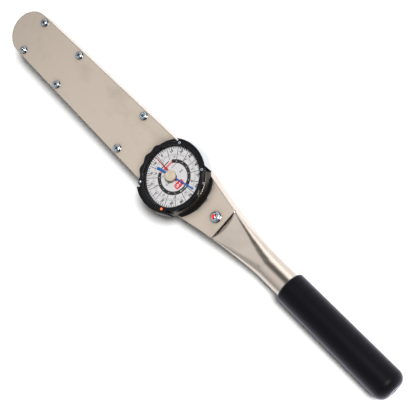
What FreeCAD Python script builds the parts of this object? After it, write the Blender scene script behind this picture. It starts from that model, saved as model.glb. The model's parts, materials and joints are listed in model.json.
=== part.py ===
import FreeCAD, Part
import math
import os

# Dial torque wrench, 1/2 inch square drive. Millimetres.
# Origin: on the drive axis, in the shoulder plane where a socket seats.
# +X runs along the handle to the grip, +Z goes up through the dial face.

V = FreeCAD.Vector
UP = V(0, 0, 1)
ALONG = V(1, 0, 0)
ACROSS = V(0, 1, 0)

# ---- driving dimensions ---------------------------------------------------
# Housing and cover
TOP_Z = 28.0                 # upper face of the cover plate
COVER_T = 2.0
BOTTOM_Z = 3.2               # underside of the housing
WALL = 2.9
FLOOR_T = 2.5
HEAD_R = 23.0
HEAD_CENTRE_X = -1.0
SIDE_SLOPE = 0.013           # the channel widens a little from head to dial
SIDE_END_X = 240.0
COVER_END_X = 299.3
COVER_END_HALF = 16.4
CORNER_CUT = 1.6
COVER_EDGE_R = 0.35
TAPER_EASE_X = 14.0          # reach of the outline's curve past its straight side
TAPER_EASE_NECK = 26.0
TAPER_BULGE = 3.6
HOUSING_EDGE_R = 7.0         # round lower edge of the channel
POCKET_EDGE_R = 3.5
POCKET_END_X = COVER_END_X - 1.5
NECK_INSET = 0.05            # the neck starts and ends just inside its neighbours
SLOT_HALF = 14.6             # lens-shaped gap behind the cover
SLOT_DEPTH = 3.4
SLOT_Z = 25.6
# Handle
AXIS_Z = 0.5 * (TOP_Z + BOTTOM_Z)
TUBE_R = 12.0
TUBE_BORE_R = 9.3
NECK_END_X = 352.0
TUBE_END_X = 492.0
GRIP_R = 15.1
GRIP_START_X = 377.5
GRIP_END_X = 500.5
GRIP_NOSE_R = 2.6
GRIP_TAIL_R = 9.0
GRIP_HOLE_R = 2.2
# Screws in the cover
COVER_SCREWS = ((5.6, 17.7), (64.7, 18.5), (165.8, 20.0))
COVER_SCREW_R = 2.0
COVER_SCREW_HEAD_R = 3.75
COVER_SCREW_HEAD_H = 2.3
COVER_SCREW_LENGTH = 9.0
BOSS_R = 3.6
RECESS_DEPTH = 0.6           # share of a head's height that its cross recess takes
SCREW_HOLE_SPARE = 2.0       # blind holes run this much past their screws
NECK_SCREW_X = 289.0
NECK_SCREW_R = 2.5
NECK_SCREW_HEAD_R = 4.9
NECK_SCREW_HEAD_H = 2.7
NECK_SCREW_LENGTH = 12.0
NECK_SEAL_R = 2.1
NECK_SEAL_T = 0.8
NECK_SEAL_OFF_X = -0.9       # the varnish sits on one half of the head
NECK_SEAL_OFF_Y = -0.4
# Drive head
SQUARE = 12.7                # 1/2 inch drive
SQUARE_LENGTH = 15.0
SQUARE_CHAMFER = 0.8
SQUARE_EDGE_R = 0.9
JOURNAL_R = 12.0
JOURNAL_FIT = 0.04           # radial running clearance
LOWER_BUSH_R = 14.0
THRUST_WASHER_R = 13.4
THRUST_WASHER_SPARE = 0.1    # room under the head
HEAD_R_INNER = 13.6
HEAD_Z = 6.3
HEAD_TOP_Z = 15.6
FORK_X = 26.0
FORK_HALF = 8.0
FORK_ROOT_X = 13.0
POST_R = 6.0
UPPER_JOURNAL_R = 5.0
UPPER_JOURNAL_Z = 22.0
UPPER_BUSH_R = 8.0
COLLAR_R = 9.0
COLLAR_TOP_Z = 18.6
ARM_T = 1.6
ARM_RING_T = 0.9
ARM_ROOT_R = 10.5
ARM_ROOT_HALF = 9.0
ARM_WAIST = (20.0, 5.5)      # distance and half width where the root ends
ARM_SLIM = (150.0, 3.0)
ARM_TOE_HALF = 9.5           # widened end that carries the sector
ARM_TOE_LENGTH = 5.0
ARM_TOE_TAPER = 9.0
ARM_HOLE_R = 1.8             # lightening holes
ARM_HOLE_X = 40.0
ARM_HOLE_STEP = 35.0
ARM_HOLES = 4
ARM_SCREW_R = 1.0
ARM_SCREW_HEAD_R = 1.35
ARM_SCREW_HEAD_H = 0.8
ARM_SCREW_BITE = 3.0
ARM_SCREW_PCR = 7.5
ARM_SCREW_ANGLES = (60.0, 180.0, 300.0)
STOP_PIN_X = 18.0
STOP_PIN_Y = 11.3
STOP_PIN_R = 2.0
# Detent in the square
DETENT_Z = -7.5
DETENT_R = 2.0
DETENT_FIT = 0.05
DETENT_STAND = 0.9           # how far the ball stands out of the face
DETENT_BORE_DEPTH = 9.0
SPRING_WIRE_R = 0.22
SPRING_COIL_R = 1.2
SPRING_TURNS = 5
# Measuring beam
BEAM_T = 5.0
BEAM_Z = 7.2
BEAM_H = 7.8
BEAM_TIP_X = 17.5
BEAM_SLOT_CLEARANCE = 0.35
BEAM_PIVOT_X = 276.0
BEAM_PIN_R = 2.0
BEAM_PIN_TOP_Z = 21.0
BEAM_EYE_R = 4.0
BEAM_EYE_SPARE = 0.8         # radial room round the eye in the anchor's mouth
ANCHOR_NOSE = 5.0            # how far its nose reaches past the beam's pin
ANCHOR_END_X = 295.0
ANCHOR_HALF = 9.5
ANCHOR_Z = 6.2
ANCHOR_TOP_Z = 25.6
ANCHOR_BOLT_X = 289.0
ANCHOR_BOLT_Y = 6.4
ANCHOR_BOLT_R = 1.5
ANCHOR_BOLT_BITE = 8.0
ANCHOR_BOLT_HEAD_R = 3.0
ANCHOR_BOLT_HEAD_H = 1.8
# Indicator gearing
DIAL_X = 234.0
MODULE = 0.3
PINION_TEETH = 12
SECTOR_R = DIAL_X - 0.5 * MODULE * PINION_TEETH
SECTOR_HALF_DEG = 2.87
SECTOR_T = 1.6
SECTOR_Z = COLLAR_TOP_Z + ARM_T
SECTOR_DEPTH = 9.0
RIVET_DEGREES = (-1.6, 0.0, 1.6)
RIVET_PCR = SECTOR_R - 6.0
RIVET_R = 0.9
RIVET_HEAD_R = 1.5
RIVET_HEAD_H = 0.6
GEAR_BACKLASH = 0.05         # taken off each flank
PRESSURE_ANGLE = 20.0
ARBOR_R = 1.0
ARBOR_FIT = 0.03
ARBOR_HOLE_R = 5.0           # the arbor's way up through the cover
ARBOR_SHOULDER_R = 1.7
ARBOR_NIB = 0.4              # its lower end stands this far below the plate
PINION_SPARE = 0.5           # the pinion is wider than the sector by this, each side
MOVEMENT_PLATE_T = 1.3
MOVEMENT_LOWER_Z = 15.7
MOVEMENT_UPPER_Z = 23.6
MOVEMENT_PILLARS = ((6.5, 9.0), (6.5, -9.0), (17.5, 0.0))
PILLAR_R = 2.0
MOVEMENT_SCREW_R = 1.0
MOVEMENT_SCREW_HEAD_R = 2.0
MOVEMENT_SCREW_HEAD_H = 1.2
MOVEMENT_BUSH_R = 2.2
MOVEMENT_PLATE_EDGE = ((-5.5, 5.0), (2.0, 12.5), (13.0, 12.5), (21.5, 4.5))
# Dial housing, heights above the cover
DRUM_FOOT_R = 34.9           # the cup tapers to its lip
DRUM_TOP_R = 32.9
DRUM_BORE_R = 31.8
DRUM_FLOOR_R = 24.6
DRUM_FLOOR_T = 1.4
DRUM_TOP = 6.4
DRUM_LIP_R = 30.7
DRUM_LIP_T = 1.6
DRUM_RIM_R = 0.6
DRUM_SCREW_HEAD_R = 2.2
DRUM_SCREW_HEAD_H = 1.1
GASKET_R = 36.8
GASKET_INSET = 0.8           # it stays this far inside the cover's edge
GASKET_T = 0.9
DRUM_SCREW_PCR = 28.0
DRUM_SCREW_ANGLES = (28.0, 152.0, 208.0, 332.0)
DRUM_SCREW_R = 1.25
# Bezel
BEZEL_LOW = 7.0
BEZEL_TOP = 11.8
BEZEL_BORE_R = 28.8
LEDGE_R = 28.4
TUBE_OUT_R = 30.4
SCALLOP_PEAK_R = 33.1
SCALLOP_VALLEY_R = 31.9
SCALLOP_COUNT = 16
SCALLOP_PHASE = 186.0
SKIRT_IN_R = 33.4            # radii at the top edge
SKIRT_OUT_R = 34.4
SKIRT_FLARE = 1.6            # the lower edge stands this much further out
SKIRT_JOIN_R = 34.35         # the ring reaches out to here under the skirts
SKIRT_LOW = 1.4
SKIRT_TOP = 13.6
SKIRT_FROM = 55.0            # azimuths of a skirt's ends at the top
SKIRT_TO = 122.0
SKIRT_SLANT = 6.5            # its lower edge reaches this much further round
BAND_T = 0.5
BAND_DROP = 0.9              # black edge left above the bright band
BEZEL_TURN = -5.8            # the bezel rests slightly off its zero position
BEZEL_SCREW_PCR = 31.1
BEZEL_SCREW_ANGLE = 56.1     # from the dial's long axis, four of them
BEZEL_SCREW_HEAD_R = 1.25
BEZEL_SCREW_R = 0.6
BEZEL_SCREW_SINK = 0.9       # depth of the seat under the ring's face
BEZEL_SCREW_BITE = 3.0
BEZEL_SCREW_PROUD = 0.1
BEZEL_SEAL_T = 0.3
BEZEL_SOCKET_R = 0.55
BEZEL_SOCKET_DEPTH = 0.4
# Dial and lens
DIAL_R = 28.3
DIAL_LOW = 3.9
DIAL_T = 0.5
DIAL_HOLE_R = 3.0
CARRIER_R = 31.4             # cup that holds the dial under the bezel
CARRIER_HOLE_R = 4.0
CARRIER_LOW = 3.1
CARRIER_TOP = 4.4
CARRIER_SCREW_PCR = 29.6
CARRIER_SCREW_R = 0.5
CARRIER_SCREW_BITE = 1.4     # how far its screws go up into the bezel
LENS_LOW = 8.4
LENS_T = 1.5
LENS_HOLE_R = 2.0
LENS_GASKET_T = 0.6
# Pointers
MAIN_POINTER_Z = 5.2
MAIN_POINTER_T = 0.4
MAIN_POINTER_DEG = 177.0
MAIN_POINTER_TIP = 27.0
MAIN_POINTER_TAIL = 4.8
MAIN_POINTER_HALF = 1.3      # half width at its root and across its weight
MAIN_POINTER_WEIGHT = (10.2, 12.2)
POINTER_HUB_R = 2.6
POINTER_HUB_H = 0.5
MEMORY_POINTER_Z = 6.5
MEMORY_POINTER_T = 0.5
MEMORY_POINTER_DEG = 12.8
MEMORY_POINTER_TIP = 24.2
MEMORY_POINTER_TAIL = 18.6
MEMORY_POINTER_HALF = 0.6
MEMORY_TAIL_HALF = 1.1
MEMORY_HUB_R = 2.9
MEMORY_BORE_R = 1.0
KNOB_R = 5.3
KNOB_LOW = 10.3
KNOB_TOP = 13.1
KNOB_BORE_R = 1.2
KNOB_BORE_SPARE = 1.0        # thickness left over its blind bore
KNOB_EDGE_R = 0.35
KNOB_FLUTES = 24
KNOB_FLUTE_R = 0.45
KNOB_FLUTE_OUT = 0.25        # the flutes' centres lie this far outside the rim
KNOB_FLUTE_SPARE = 0.5       # plain rim left above the flutes
STEM_R = 1.95
STEM_FLANGE_R = 3.2
WASHER_T = 0.4
WASHER_SPARE = 0.1           # room under the lens


# ---- shape helpers ----------------------------------------------------------
def rod(radius, z0, z1, x=0.0, y=0.0):
    return Part.makeCylinder(radius, z1 - z0, V(x, y, z0), UP)


def ring(outer, inner, z0, z1, x=0.0, y=0.0):
    return rod(outer, z0, z1, x, y).cut(rod(inner, z0 - 1.0, z1 + 1.0, x, y))


def block(x0, x1, y0, y1, z0, z1):
    return Part.makeBox(x1 - x0, y1 - y0, z1 - z0, V(x0, y0, z0))


def polygon_face(points):
    closed = [V(*p) for p in points]
    closed.append(closed[0])
    return Part.Face(Part.makePolygon(closed))


def prism(points, z0, z1):
    """Upright solid over an outline of (x, y) points."""
    return polygon_face([(x, y, z0) for x, y in points]).extrude(V(0, 0, z1 - z0))


def polar(radius, degrees, x=0.0, y=0.0):
    turn = math.radians(degrees)
    return (x + radius * math.cos(turn), y + radius * math.sin(turn))


def turned(shape, degrees, x=0.0, y=0.0):
    """A copy turned about an upright axis."""
    copy = shape.copy()
    copy.rotate(V(x, y, 0), UP, degrees)
    return copy


def union(shapes):
    result = shapes[0]
    for extra in shapes[1:]:
        result = result.fuse(extra)
    return result.removeSplitter()


def group(shapes):
    return Part.makeCompound(shapes)


def round_edges(shape, radius, wanted):
    """Fillet of the edges that the test function picks."""
    edges = [edge for edge in shape.Edges if wanted(edge)]
    return shape.makeFillet(radius, edges)


def at_height(z):
    """Test for edges that lie flat at one height."""
    def wanted(edge):
        box = edge.BoundBox
        return abs(box.ZMin - z) < 1e-4 and abs(box.ZMax - z) < 1e-4
    return wanted


def sector_plate(inner, outer, from_deg, to_deg, z0, z1):
    """Part of a ring between two azimuths, about the Z axis."""
    middle = 0.5 * (from_deg + to_deg)
    outline = [
        Part.Arc(*[V(*polar(outer, a), z0) for a in (from_deg, middle, to_deg)]).toShape(),
        Part.makeLine(V(*polar(outer, to_deg), z0), V(*polar(inner, to_deg), z0)),
        Part.Arc(*[V(*polar(inner, a), z0) for a in (to_deg, middle, from_deg)]).toShape(),
        Part.makeLine(V(*polar(inner, from_deg), z0), V(*polar(outer, from_deg), z0)),
    ]
    return Part.Face(Part.Wire(outline)).extrude(V(0, 0, z1 - z0))


def cross_recess(width, slot, z_top, depth, x, y, turn):
    """The cross-shaped cut in a screw head."""
    arm = block(-0.5 * width, 0.5 * width, -0.5 * slot, 0.5 * slot, z_top - depth, z_top + 1.0)
    pit = Part.makeCone(0.1, 0.27 * width, depth + 0.4, V(0, 0, z_top - depth - 0.4), UP)
    cross = union([arm, turned(arm, 90.0), pit])
    cross.rotate(V(0, 0, 0), UP, turn)
    cross.translate(V(x, y, 0))
    return cross


def pan_screw(x, y, z, head_r, head_h, shank_r, length, turn):
    """Pan-head screw with its head seated at height z and its shank below."""
    head = rod(head_r, z, z + head_h, x, y)
    head = round_edges(head, 0.62 * head_h, at_height(z + head_h))
    screw = union([head, rod(shank_r, z - length, z, x, y)])
    depth = RECESS_DEPTH * head_h
    return screw.cut(cross_recess(1.1 * head_r, 0.26 * head_r, z + head_h, depth, x, y, turn))


def slotted_screw(x, y, z, head_r, head_h, shank_r, length):
    """Cheese-head screw with one slot, its head seated at height z."""
    screw = union([rod(head_r, z, z + head_h, x, y), rod(shank_r, z - length, z, x, y)])
    slot_half = 0.14 * head_r
    slot = block(x - 2.0 * head_r, x + 2.0 * head_r, y - slot_half, y + slot_half,
                 z + 0.5 * head_h, z + 2.0 * head_h)
    return screw.cut(slot)


# ---- outlines ---------------------------------------------------------------
def half_width(x):
    """Half width of the straight part of the channel."""
    return HEAD_R + SIDE_SLOPE * (x - HEAD_CENTRE_X)


def channel_wire(inset, end_x, z):
    """Plan outline of the channel: round head, straight sides, neck taper."""
    radius = HEAD_R - inset
    start = (HEAD_CENTRE_X, radius)
    side_end = (SIDE_END_X, half_width(SIDE_END_X) - inset)
    neck_end = (end_x, COVER_END_HALF - inset)
    edges = []
    arc = [V(start[0], start[1], z), V(HEAD_CENTRE_X - radius, 0, z), V(start[0], -start[1], z)]
    edges.append(Part.Arc(*arc).toShape())
    for side in (-1, 1):
        line = [V(start[0], side * start[1], z), V(side_end[0], side * side_end[1], z)]
        taper = Part.BezierCurve()
        taper.setPoles([
            V(side_end[0], side * side_end[1], z),
            V(side_end[0] + TAPER_EASE_X, side * (side_end[1] + TAPER_EASE_X * SIDE_SLOPE), z),
            V(end_x - TAPER_EASE_NECK, side * (neck_end[1] + TAPER_BULGE), z),
            V(neck_end[0], side * neck_end[1], z),
        ])
        edges.append(Part.makeLine(*line))
        edges.append(taper.toShape())
    edges.append(Part.makeLine(V(end_x, -neck_end[1], z), V(end_x, neck_end[1], z)))
    return Part.Wire(Part.__sortEdges__(edges))


# ---- housing and cover --------------------------------------------------------
def neck():
    """Loft from the channel's section to the round handle tube."""
    stations = 7
    top_edge_r = 0.9
    end_r = TUBE_R - NECK_INSET
    corner_r = end_r - 0.06          # leaves narrow flats, so every section has the same edges
    start_half = COVER_END_HALF - NECK_INSET
    start_low = BOTTOM_Z + NECK_INSET
    wires = []
    for k in range(stations):
        t = k / (stations - 1.0)
        x = COVER_END_X + t * (NECK_END_X - COVER_END_X)
        half = start_half + (end_r - start_half) * (1.0 - (1.0 - t) ** 1.6)
        top_r = top_edge_r + (corner_r - top_edge_r) * t ** 1.1
        low_r = HOUSING_EDGE_R + (corner_r - HOUSING_EDGE_R) * t
        high = TOP_Z + (AXIS_Z + end_r - TOP_Z) * t
        low = start_low + (AXIS_Z - end_r - start_low) * t
        wires.append(neck_section(x, half, high, low, top_r, low_r))
    return Part.makeLoft(wires, True, False)


def neck_section(x, half, high, low, top_r, low_r):
    """Rounded section between two heights; its corners grow until it is a circle."""
    points = []
    for side, z, r in ((1, high, top_r), (-1, high, top_r), (-1, low, low_r), (1, low, low_r)):
        up = 1 if z == high else -1
        cy = side * (half - r)
        cz = z - up * r
        slant = r * math.sqrt(0.5)
        way = [V(x, side * half, cz), V(x, cy + side * slant, cz + up * slant), V(x, cy, z)]
        if side * up < 0:
            way.reverse()
        points.append(way)
    edges = []
    for k, way in enumerate(points):
        edges.append(Part.Arc(*way).toShape())
        edges.append(Part.makeLine(way[2], points[(k + 1) % 4][0]))
    return Part.Wire(edges)


def screw_places():
    return [(x, side * y) for x, y in COVER_SCREWS for side in (-1, 1)]


def channel():
    """The channel under the cover, its lower edge rounded."""
    seat_z = TOP_Z - COVER_T
    outer = Part.Face(channel_wire(0.0, COVER_END_X, BOTTOM_Z)).extrude(V(0, 0, seat_z - BOTTOM_Z))

    def lower_rim(edge):
        is_end = edge.BoundBox.XMin > COVER_END_X - 0.1
        return at_height(BOTTOM_Z)(edge) and not is_end
    return round_edges(outer, HOUSING_EDGE_R, lower_rim)


def slot_gap():
    """Lens-shaped gap between the cover's straight end and the neck's curved lip."""
    chord = [V(COVER_END_X, y, SLOT_Z) for y in (-SLOT_HALF, SLOT_HALF)]
    top = V(COVER_END_X + SLOT_DEPTH, 0, SLOT_Z)
    lip = Part.Arc(chord[1], top, chord[0]).toShape()
    return Part.Face(Part.Wire([Part.makeLine(*chord), lip])).extrude(V(0, 0, 10.0))


def pocket():
    """Hollow of the channel; the screw bosses and their webs stand in it."""
    floor_z = BOTTOM_Z + FLOOR_T
    over = TOP_Z + 5.0
    hollow = Part.Face(channel_wire(WALL, POCKET_END_X, floor_z)).extrude(V(0, 0, over - floor_z))
    hollow = round_edges(hollow, POCKET_EDGE_R, at_height(floor_z))
    for x, y in screw_places():
        wall_y = math.copysign(half_width(x), y)
        web = block(x - BOSS_R, x + BOSS_R, min(y, wall_y), max(y, wall_y), floor_z - 1.0, over + 1.0)
        hollow = hollow.cut(union([rod(BOSS_R, floor_z - 1.0, over + 1.0, x, y), web]))
    return hollow


def housing():
    seat_z = TOP_Z - COVER_T
    floor_z = BOTTOM_Z + FLOOR_T
    tube = Part.makeCylinder(TUBE_R, TUBE_END_X - NECK_END_X, V(NECK_END_X, 0, AXIS_Z), ALONG)
    bore = Part.makeCylinder(TUBE_BORE_R, TUBE_END_X, V(POCKET_END_X - 2.0, 0, AXIS_Z), ALONG)
    body = union([channel(), neck(), tube]).cut(pocket()).cut(bore).cut(slot_gap())
    screw_hole_z = TOP_Z - COVER_SCREW_LENGTH - SCREW_HOLE_SPARE
    for x, y in screw_places():
        body = body.cut(rod(COVER_SCREW_R, screw_hole_z, seat_z + 1.0, x, y))
    floor_holes = [(LOWER_BUSH_R, 0.0, 0.0)]
    for side in (-1, 1):
        floor_holes.append((STOP_PIN_R, STOP_PIN_X, side * STOP_PIN_Y))
        floor_holes.append((ANCHOR_BOLT_R, ANCHOR_BOLT_X, side * ANCHOR_BOLT_Y))
    for radius, x, y in floor_holes:
        body = body.cut(rod(radius, BOTTOM_Z - 1.0, floor_z + 1.0, x, y))
    return body


def cover_plate():
    low = TOP_Z - COVER_T
    plate = Part.Face(channel_wire(0.0, COVER_END_X, low)).extrude(V(0, 0, COVER_T))
    for side in (-1, 1):
        corner = [
            (COVER_END_X + 1.0, side * (COVER_END_HALF - CORNER_CUT)),
            (COVER_END_X - 2.2 * CORNER_CUT, side * (COVER_END_HALF + CORNER_CUT)),
            (COVER_END_X + 1.0, side * (COVER_END_HALF + CORNER_CUT)),
        ]
        plate = plate.cut(prism(corner, low - 1.0, TOP_Z + 1.0))
    plate = round_edges(plate, COVER_EDGE_R, at_height(TOP_Z))
    for x, y in screw_places():
        plate = plate.cut(rod(COVER_SCREW_R, low - 1.0, TOP_Z + 1.0, x, y))
    plate = plate.cut(rod(NECK_SCREW_R, low - 1.0, TOP_Z + 1.0, NECK_SCREW_X, 0))
    plate = plate.cut(rod(ARBOR_HOLE_R, low - 1.0, TOP_Z + 1.0, DIAL_X, 0))
    for dx, y in MOVEMENT_PILLARS:
        plate = plate.cut(rod(MOVEMENT_SCREW_R, low - 1.0, TOP_Z + 1.0, DIAL_X + dx, y))
    for angle in DRUM_SCREW_ANGLES:
        x, y = polar(DRUM_SCREW_PCR, angle, DIAL_X)
        plate = plate.cut(rod(DRUM_SCREW_R, low - 1.0, TOP_Z + 1.0, x, y))
    return plate


def cover_screws():
    """Six equal screws; each recess stops at its own angle."""
    screws = []
    for k, (x, y) in enumerate(screw_places()):
        screws.append(pan_screw(x, y, TOP_Z, COVER_SCREW_HEAD_R, COVER_SCREW_HEAD_H,
                                COVER_SCREW_R, COVER_SCREW_LENGTH, 23.0 + 37.0 * k))
    return group(screws)


def neck_screw():
    return pan_screw(NECK_SCREW_X, 0, TOP_Z, NECK_SCREW_HEAD_R, NECK_SCREW_HEAD_H,
                     NECK_SCREW_R, NECK_SCREW_LENGTH, 12.0)


def neck_seal():
    """Drop of tamper varnish that fills part of the neck screw's recess."""
    top = TOP_Z + NECK_SCREW_HEAD_H
    high = top + NECK_SEAL_T
    ball_r = (NECK_SEAL_R ** 2 + NECK_SEAL_T ** 2) / (2.0 * NECK_SEAL_T)
    x = NECK_SCREW_X + NECK_SEAL_OFF_X
    ball = Part.makeSphere(ball_r, V(x, NECK_SEAL_OFF_Y, high - ball_r))
    column = rod(NECK_SEAL_R, top - RECESS_DEPTH * NECK_SCREW_HEAD_H, high, x, NECK_SEAL_OFF_Y)
    return ball.common(column).cut(neck_screw())


def grip():
    length = GRIP_END_X - GRIP_START_X
    sleeve = Part.makeCylinder(GRIP_R, length, V(GRIP_START_X, 0, AXIS_Z), ALONG)

    def end_edge(x):
        def wanted(edge):
            box = edge.BoundBox
            return abs(box.XMin - x) < 1e-4 and abs(box.XMax - x) < 1e-4
        return wanted
    sleeve = round_edges(sleeve, GRIP_TAIL_R, end_edge(GRIP_END_X))
    sleeve = round_edges(sleeve, GRIP_NOSE_R, end_edge(GRIP_START_X))
    bore = Part.makeCylinder(TUBE_R, TUBE_END_X - GRIP_START_X + 5.0,
                             V(GRIP_START_X - 5.0, 0, AXIS_Z), ALONG)
    vent = Part.makeCylinder(GRIP_HOLE_R, 20.0, V(GRIP_END_X - 15.0, 0, AXIS_Z), ALONG)
    return sleeve.cut(bore).cut(vent)


# ---- drive head ---------------------------------------------------------------
def lower_head_bushing():
    return ring(LOWER_BUSH_R, JOURNAL_R + JOURNAL_FIT, BOTTOM_Z, BOTTOM_Z + FLOOR_T)


def upper_head_bushing():
    low = UPPER_JOURNAL_Z + 0.2
    return ring(UPPER_BUSH_R, UPPER_JOURNAL_R + JOURNAL_FIT, low, TOP_Z - COVER_T)


def thrust_washer():
    low = BOTTOM_Z + FLOOR_T
    return ring(THRUST_WASHER_R, JOURNAL_R + 0.3, low, HEAD_Z - THRUST_WASHER_SPARE)


def stop_pins():
    pins = [rod(STOP_PIN_R, BOTTOM_Z, HEAD_TOP_Z, STOP_PIN_X, side * STOP_PIN_Y) for side in (-1, 1)]
    return group(pins)


def detent_bore():
    face = 0.5 * SQUARE
    return Part.makeCylinder(DETENT_R + DETENT_FIT, DETENT_BORE_DEPTH + 1.0,
                             V(0, face + 1.0, DETENT_Z), V(0, -1, 0))


def drive_anvil():
    """Square, shoulder journal, forked head and post in one forging."""
    half = 0.5 * SQUARE
    square = block(-half, half, -half, half, -SQUARE_LENGTH, 0.5)

    def upright(edge):
        return edge.BoundBox.ZLength > SQUARE_LENGTH
    square = round_edges(square, SQUARE_EDGE_R, upright)
    edges = [edge for edge in square.Edges if at_height(-SQUARE_LENGTH)(edge)]
    square = square.makeChamfer(SQUARE_CHAMFER, edges)
    journal = rod(JOURNAL_R, 0.0, HEAD_Z + 0.5)
    edges = [edge for edge in journal.Edges if at_height(0.0)(edge)]
    journal = journal.makeChamfer(SQUARE_CHAMFER, edges)
    head = rod(HEAD_R_INNER, HEAD_Z, HEAD_TOP_Z)
    fork = block(0.0, FORK_X, -FORK_HALF, FORK_HALF, HEAD_Z, HEAD_TOP_Z)
    slot_half = 0.5 * BEAM_T + BEAM_SLOT_CLEARANCE
    slot = block(FORK_ROOT_X, FORK_X + 1.0, -slot_half, slot_half, HEAD_Z - 1.0, HEAD_TOP_Z + 1.0)
    collar = rod(COLLAR_R, HEAD_TOP_Z - 0.5, COLLAR_TOP_Z)
    post = rod(POST_R, COLLAR_TOP_Z - 0.5, UPPER_JOURNAL_Z)
    pivot = rod(UPPER_JOURNAL_R, UPPER_JOURNAL_Z - 0.5, TOP_Z - COVER_T - 0.3)
    body = union([square, journal, head, fork, collar, post, pivot]).cut(slot)
    for x, y in arm_screw_places():
        body = body.cut(rod(ARM_SCREW_R, COLLAR_TOP_Z - ARM_SCREW_BITE, COLLAR_TOP_Z + 1.0, x, y))
    return body.cut(detent_bore())


def detent_ball():
    centre = 0.5 * SQUARE + DETENT_STAND - DETENT_R
    return Part.makeSphere(DETENT_R, V(0, centre, DETENT_Z))


def detent_spring():
    """Coil between the ball and the bottom of its bore."""
    steps = 12 * SPRING_TURNS
    inner_end = 0.5 * SQUARE - DETENT_BORE_DEPTH + SPRING_WIRE_R + DETENT_FIT
    ball_end = 0.5 * SQUARE + DETENT_STAND - 2.0 * DETENT_R
    pitch = (ball_end - inner_end) / steps
    turn = 360.0 * SPRING_TURNS / steps
    points = [V(*polar(SPRING_COIL_R, turn * k), k * pitch) for k in range(steps + 1)]
    path = Part.BSplineCurve()
    path.interpolate(points)
    section = Part.makeCircle(SPRING_WIRE_R, points[0], path.tangent(path.FirstParameter)[0])
    coil = Part.Wire([path.toShape()]).makePipeShell([Part.Wire(section)], True, True)
    coil.rotate(V(0, 0, 0), ALONG, -90.0)
    coil.translate(V(0, inner_end, DETENT_Z))
    return coil


# ---- indicator arm and gearing --------------------------------------------------
def arm_screw_places():
    return [polar(ARM_SCREW_PCR, angle) for angle in ARM_SCREW_ANGLES]


def rivet_places():
    return [polar(RIVET_PCR, angle) for angle in RIVET_DEGREES]


def indicator_arm():
    """Stiff light arm from the head to the dial, wider at both ends."""
    z0 = COLLAR_TOP_Z
    z1 = z0 + ARM_T
    far = SECTOR_R - 3.5
    toe = far - ARM_TOE_LENGTH
    edge = [(0, ARM_ROOT_HALF), ARM_WAIST, ARM_SLIM, (toe - ARM_TOE_TAPER, ARM_SLIM[1]),
            (toe, ARM_TOE_HALF), (far, ARM_TOE_HALF)]
    outline = [(x, -y) for x, y in edge] + edge[::-1]
    arm = union([rod(ARM_ROOT_R, z0, z1), prism(outline, z0, z1)])
    arm = arm.cut(rod(POST_R, z0 - 1.0, z1 + 1.0))
    for k in range(ARM_HOLES):
        arm = arm.cut(rod(ARM_HOLE_R, z0 - 1.0, z1 + 1.0, ARM_HOLE_X + ARM_HOLE_STEP * k, 0))
    for x, y in arm_screw_places():
        arm = arm.cut(rod(ARM_SCREW_R, z0 - 1.0, z1 + 1.0, x, y))
    for x, y in rivet_places():
        arm = arm.cut(rod(RIVET_R, z0 - 1.0, z1 + 1.0, x, y))
    return arm


def arm_clamp_ring():
    z0 = COLLAR_TOP_Z + ARM_T
    clamp = ring(COLLAR_R, POST_R, z0, z0 + ARM_RING_T)
    for x, y in arm_screw_places():
        clamp = clamp.cut(rod(ARM_SCREW_R, z0 - 1.0, z0 + 2.0, x, y))
    return clamp


def arm_screws():
    screws = []
    seat = COLLAR_TOP_Z + ARM_T + ARM_RING_T
    for x, y in arm_screw_places():
        screws.append(slotted_screw(x, y, seat, ARM_SCREW_HEAD_R, ARM_SCREW_HEAD_H,
                                    ARM_SCREW_R, seat - COLLAR_TOP_Z + ARM_SCREW_BITE))
    return group(screws)


def sector_rivets():
    """Rivets with round heads on both faces."""
    rivets = []
    for x, y in rivet_places():
        shank = rod(RIVET_R, COLLAR_TOP_Z, SECTOR_Z + SECTOR_T, x, y)
        low = rod(RIVET_HEAD_R, COLLAR_TOP_Z - RIVET_HEAD_H, COLLAR_TOP_Z, x, y)
        high = rod(RIVET_HEAD_R, SECTOR_Z + SECTOR_T, SECTOR_Z + SECTOR_T + RIVET_HEAD_H, x, y)
        rivets.append(union([shank, low, high]))
    return group(rivets)


def sector_gear():
    """Toothed segment; its tooth gaps are cut about the drive axis."""
    z1 = SECTOR_Z + SECTOR_T
    addendum = 0.6 * MODULE
    dedendum = 1.15 * MODULE
    tip_r = SECTOR_R + addendum
    root_r = SECTOR_R - dedendum
    pitch_deg = math.degrees(MODULE / SECTOR_R * math.pi)
    count = int(SECTOR_HALF_DEG / pitch_deg)
    lean = math.tan(math.radians(PRESSURE_ANGLE))
    outline = []
    edge_deg = (count + 0.5) * pitch_deg
    outline.append(polar(SECTOR_R - SECTOR_DEPTH, -edge_deg))
    outline.append(polar(root_r, -edge_deg))
    for k in range(-count, count + 1):
        half_pitch = 0.25 * math.pi * MODULE - GEAR_BACKLASH
        at_root = math.degrees((half_pitch + dedendum * lean) / root_r)
        at_tip = math.degrees((half_pitch - addendum * lean) / tip_r)
        middle = k * pitch_deg
        for radius, offset in ((root_r, -at_root), (tip_r, -at_tip), (tip_r, at_tip), (root_r, at_root)):
            outline.append(polar(radius, middle + offset))
    outline.append(polar(root_r, edge_deg))
    outline.append(polar(SECTOR_R - SECTOR_DEPTH, edge_deg))
    segment = prism(outline, SECTOR_Z, z1)
    for x, y in rivet_places():
        segment = segment.cut(rod(RIVET_R, SECTOR_Z - 1.0, z1 + 1.0, x, y))
    return segment


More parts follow.
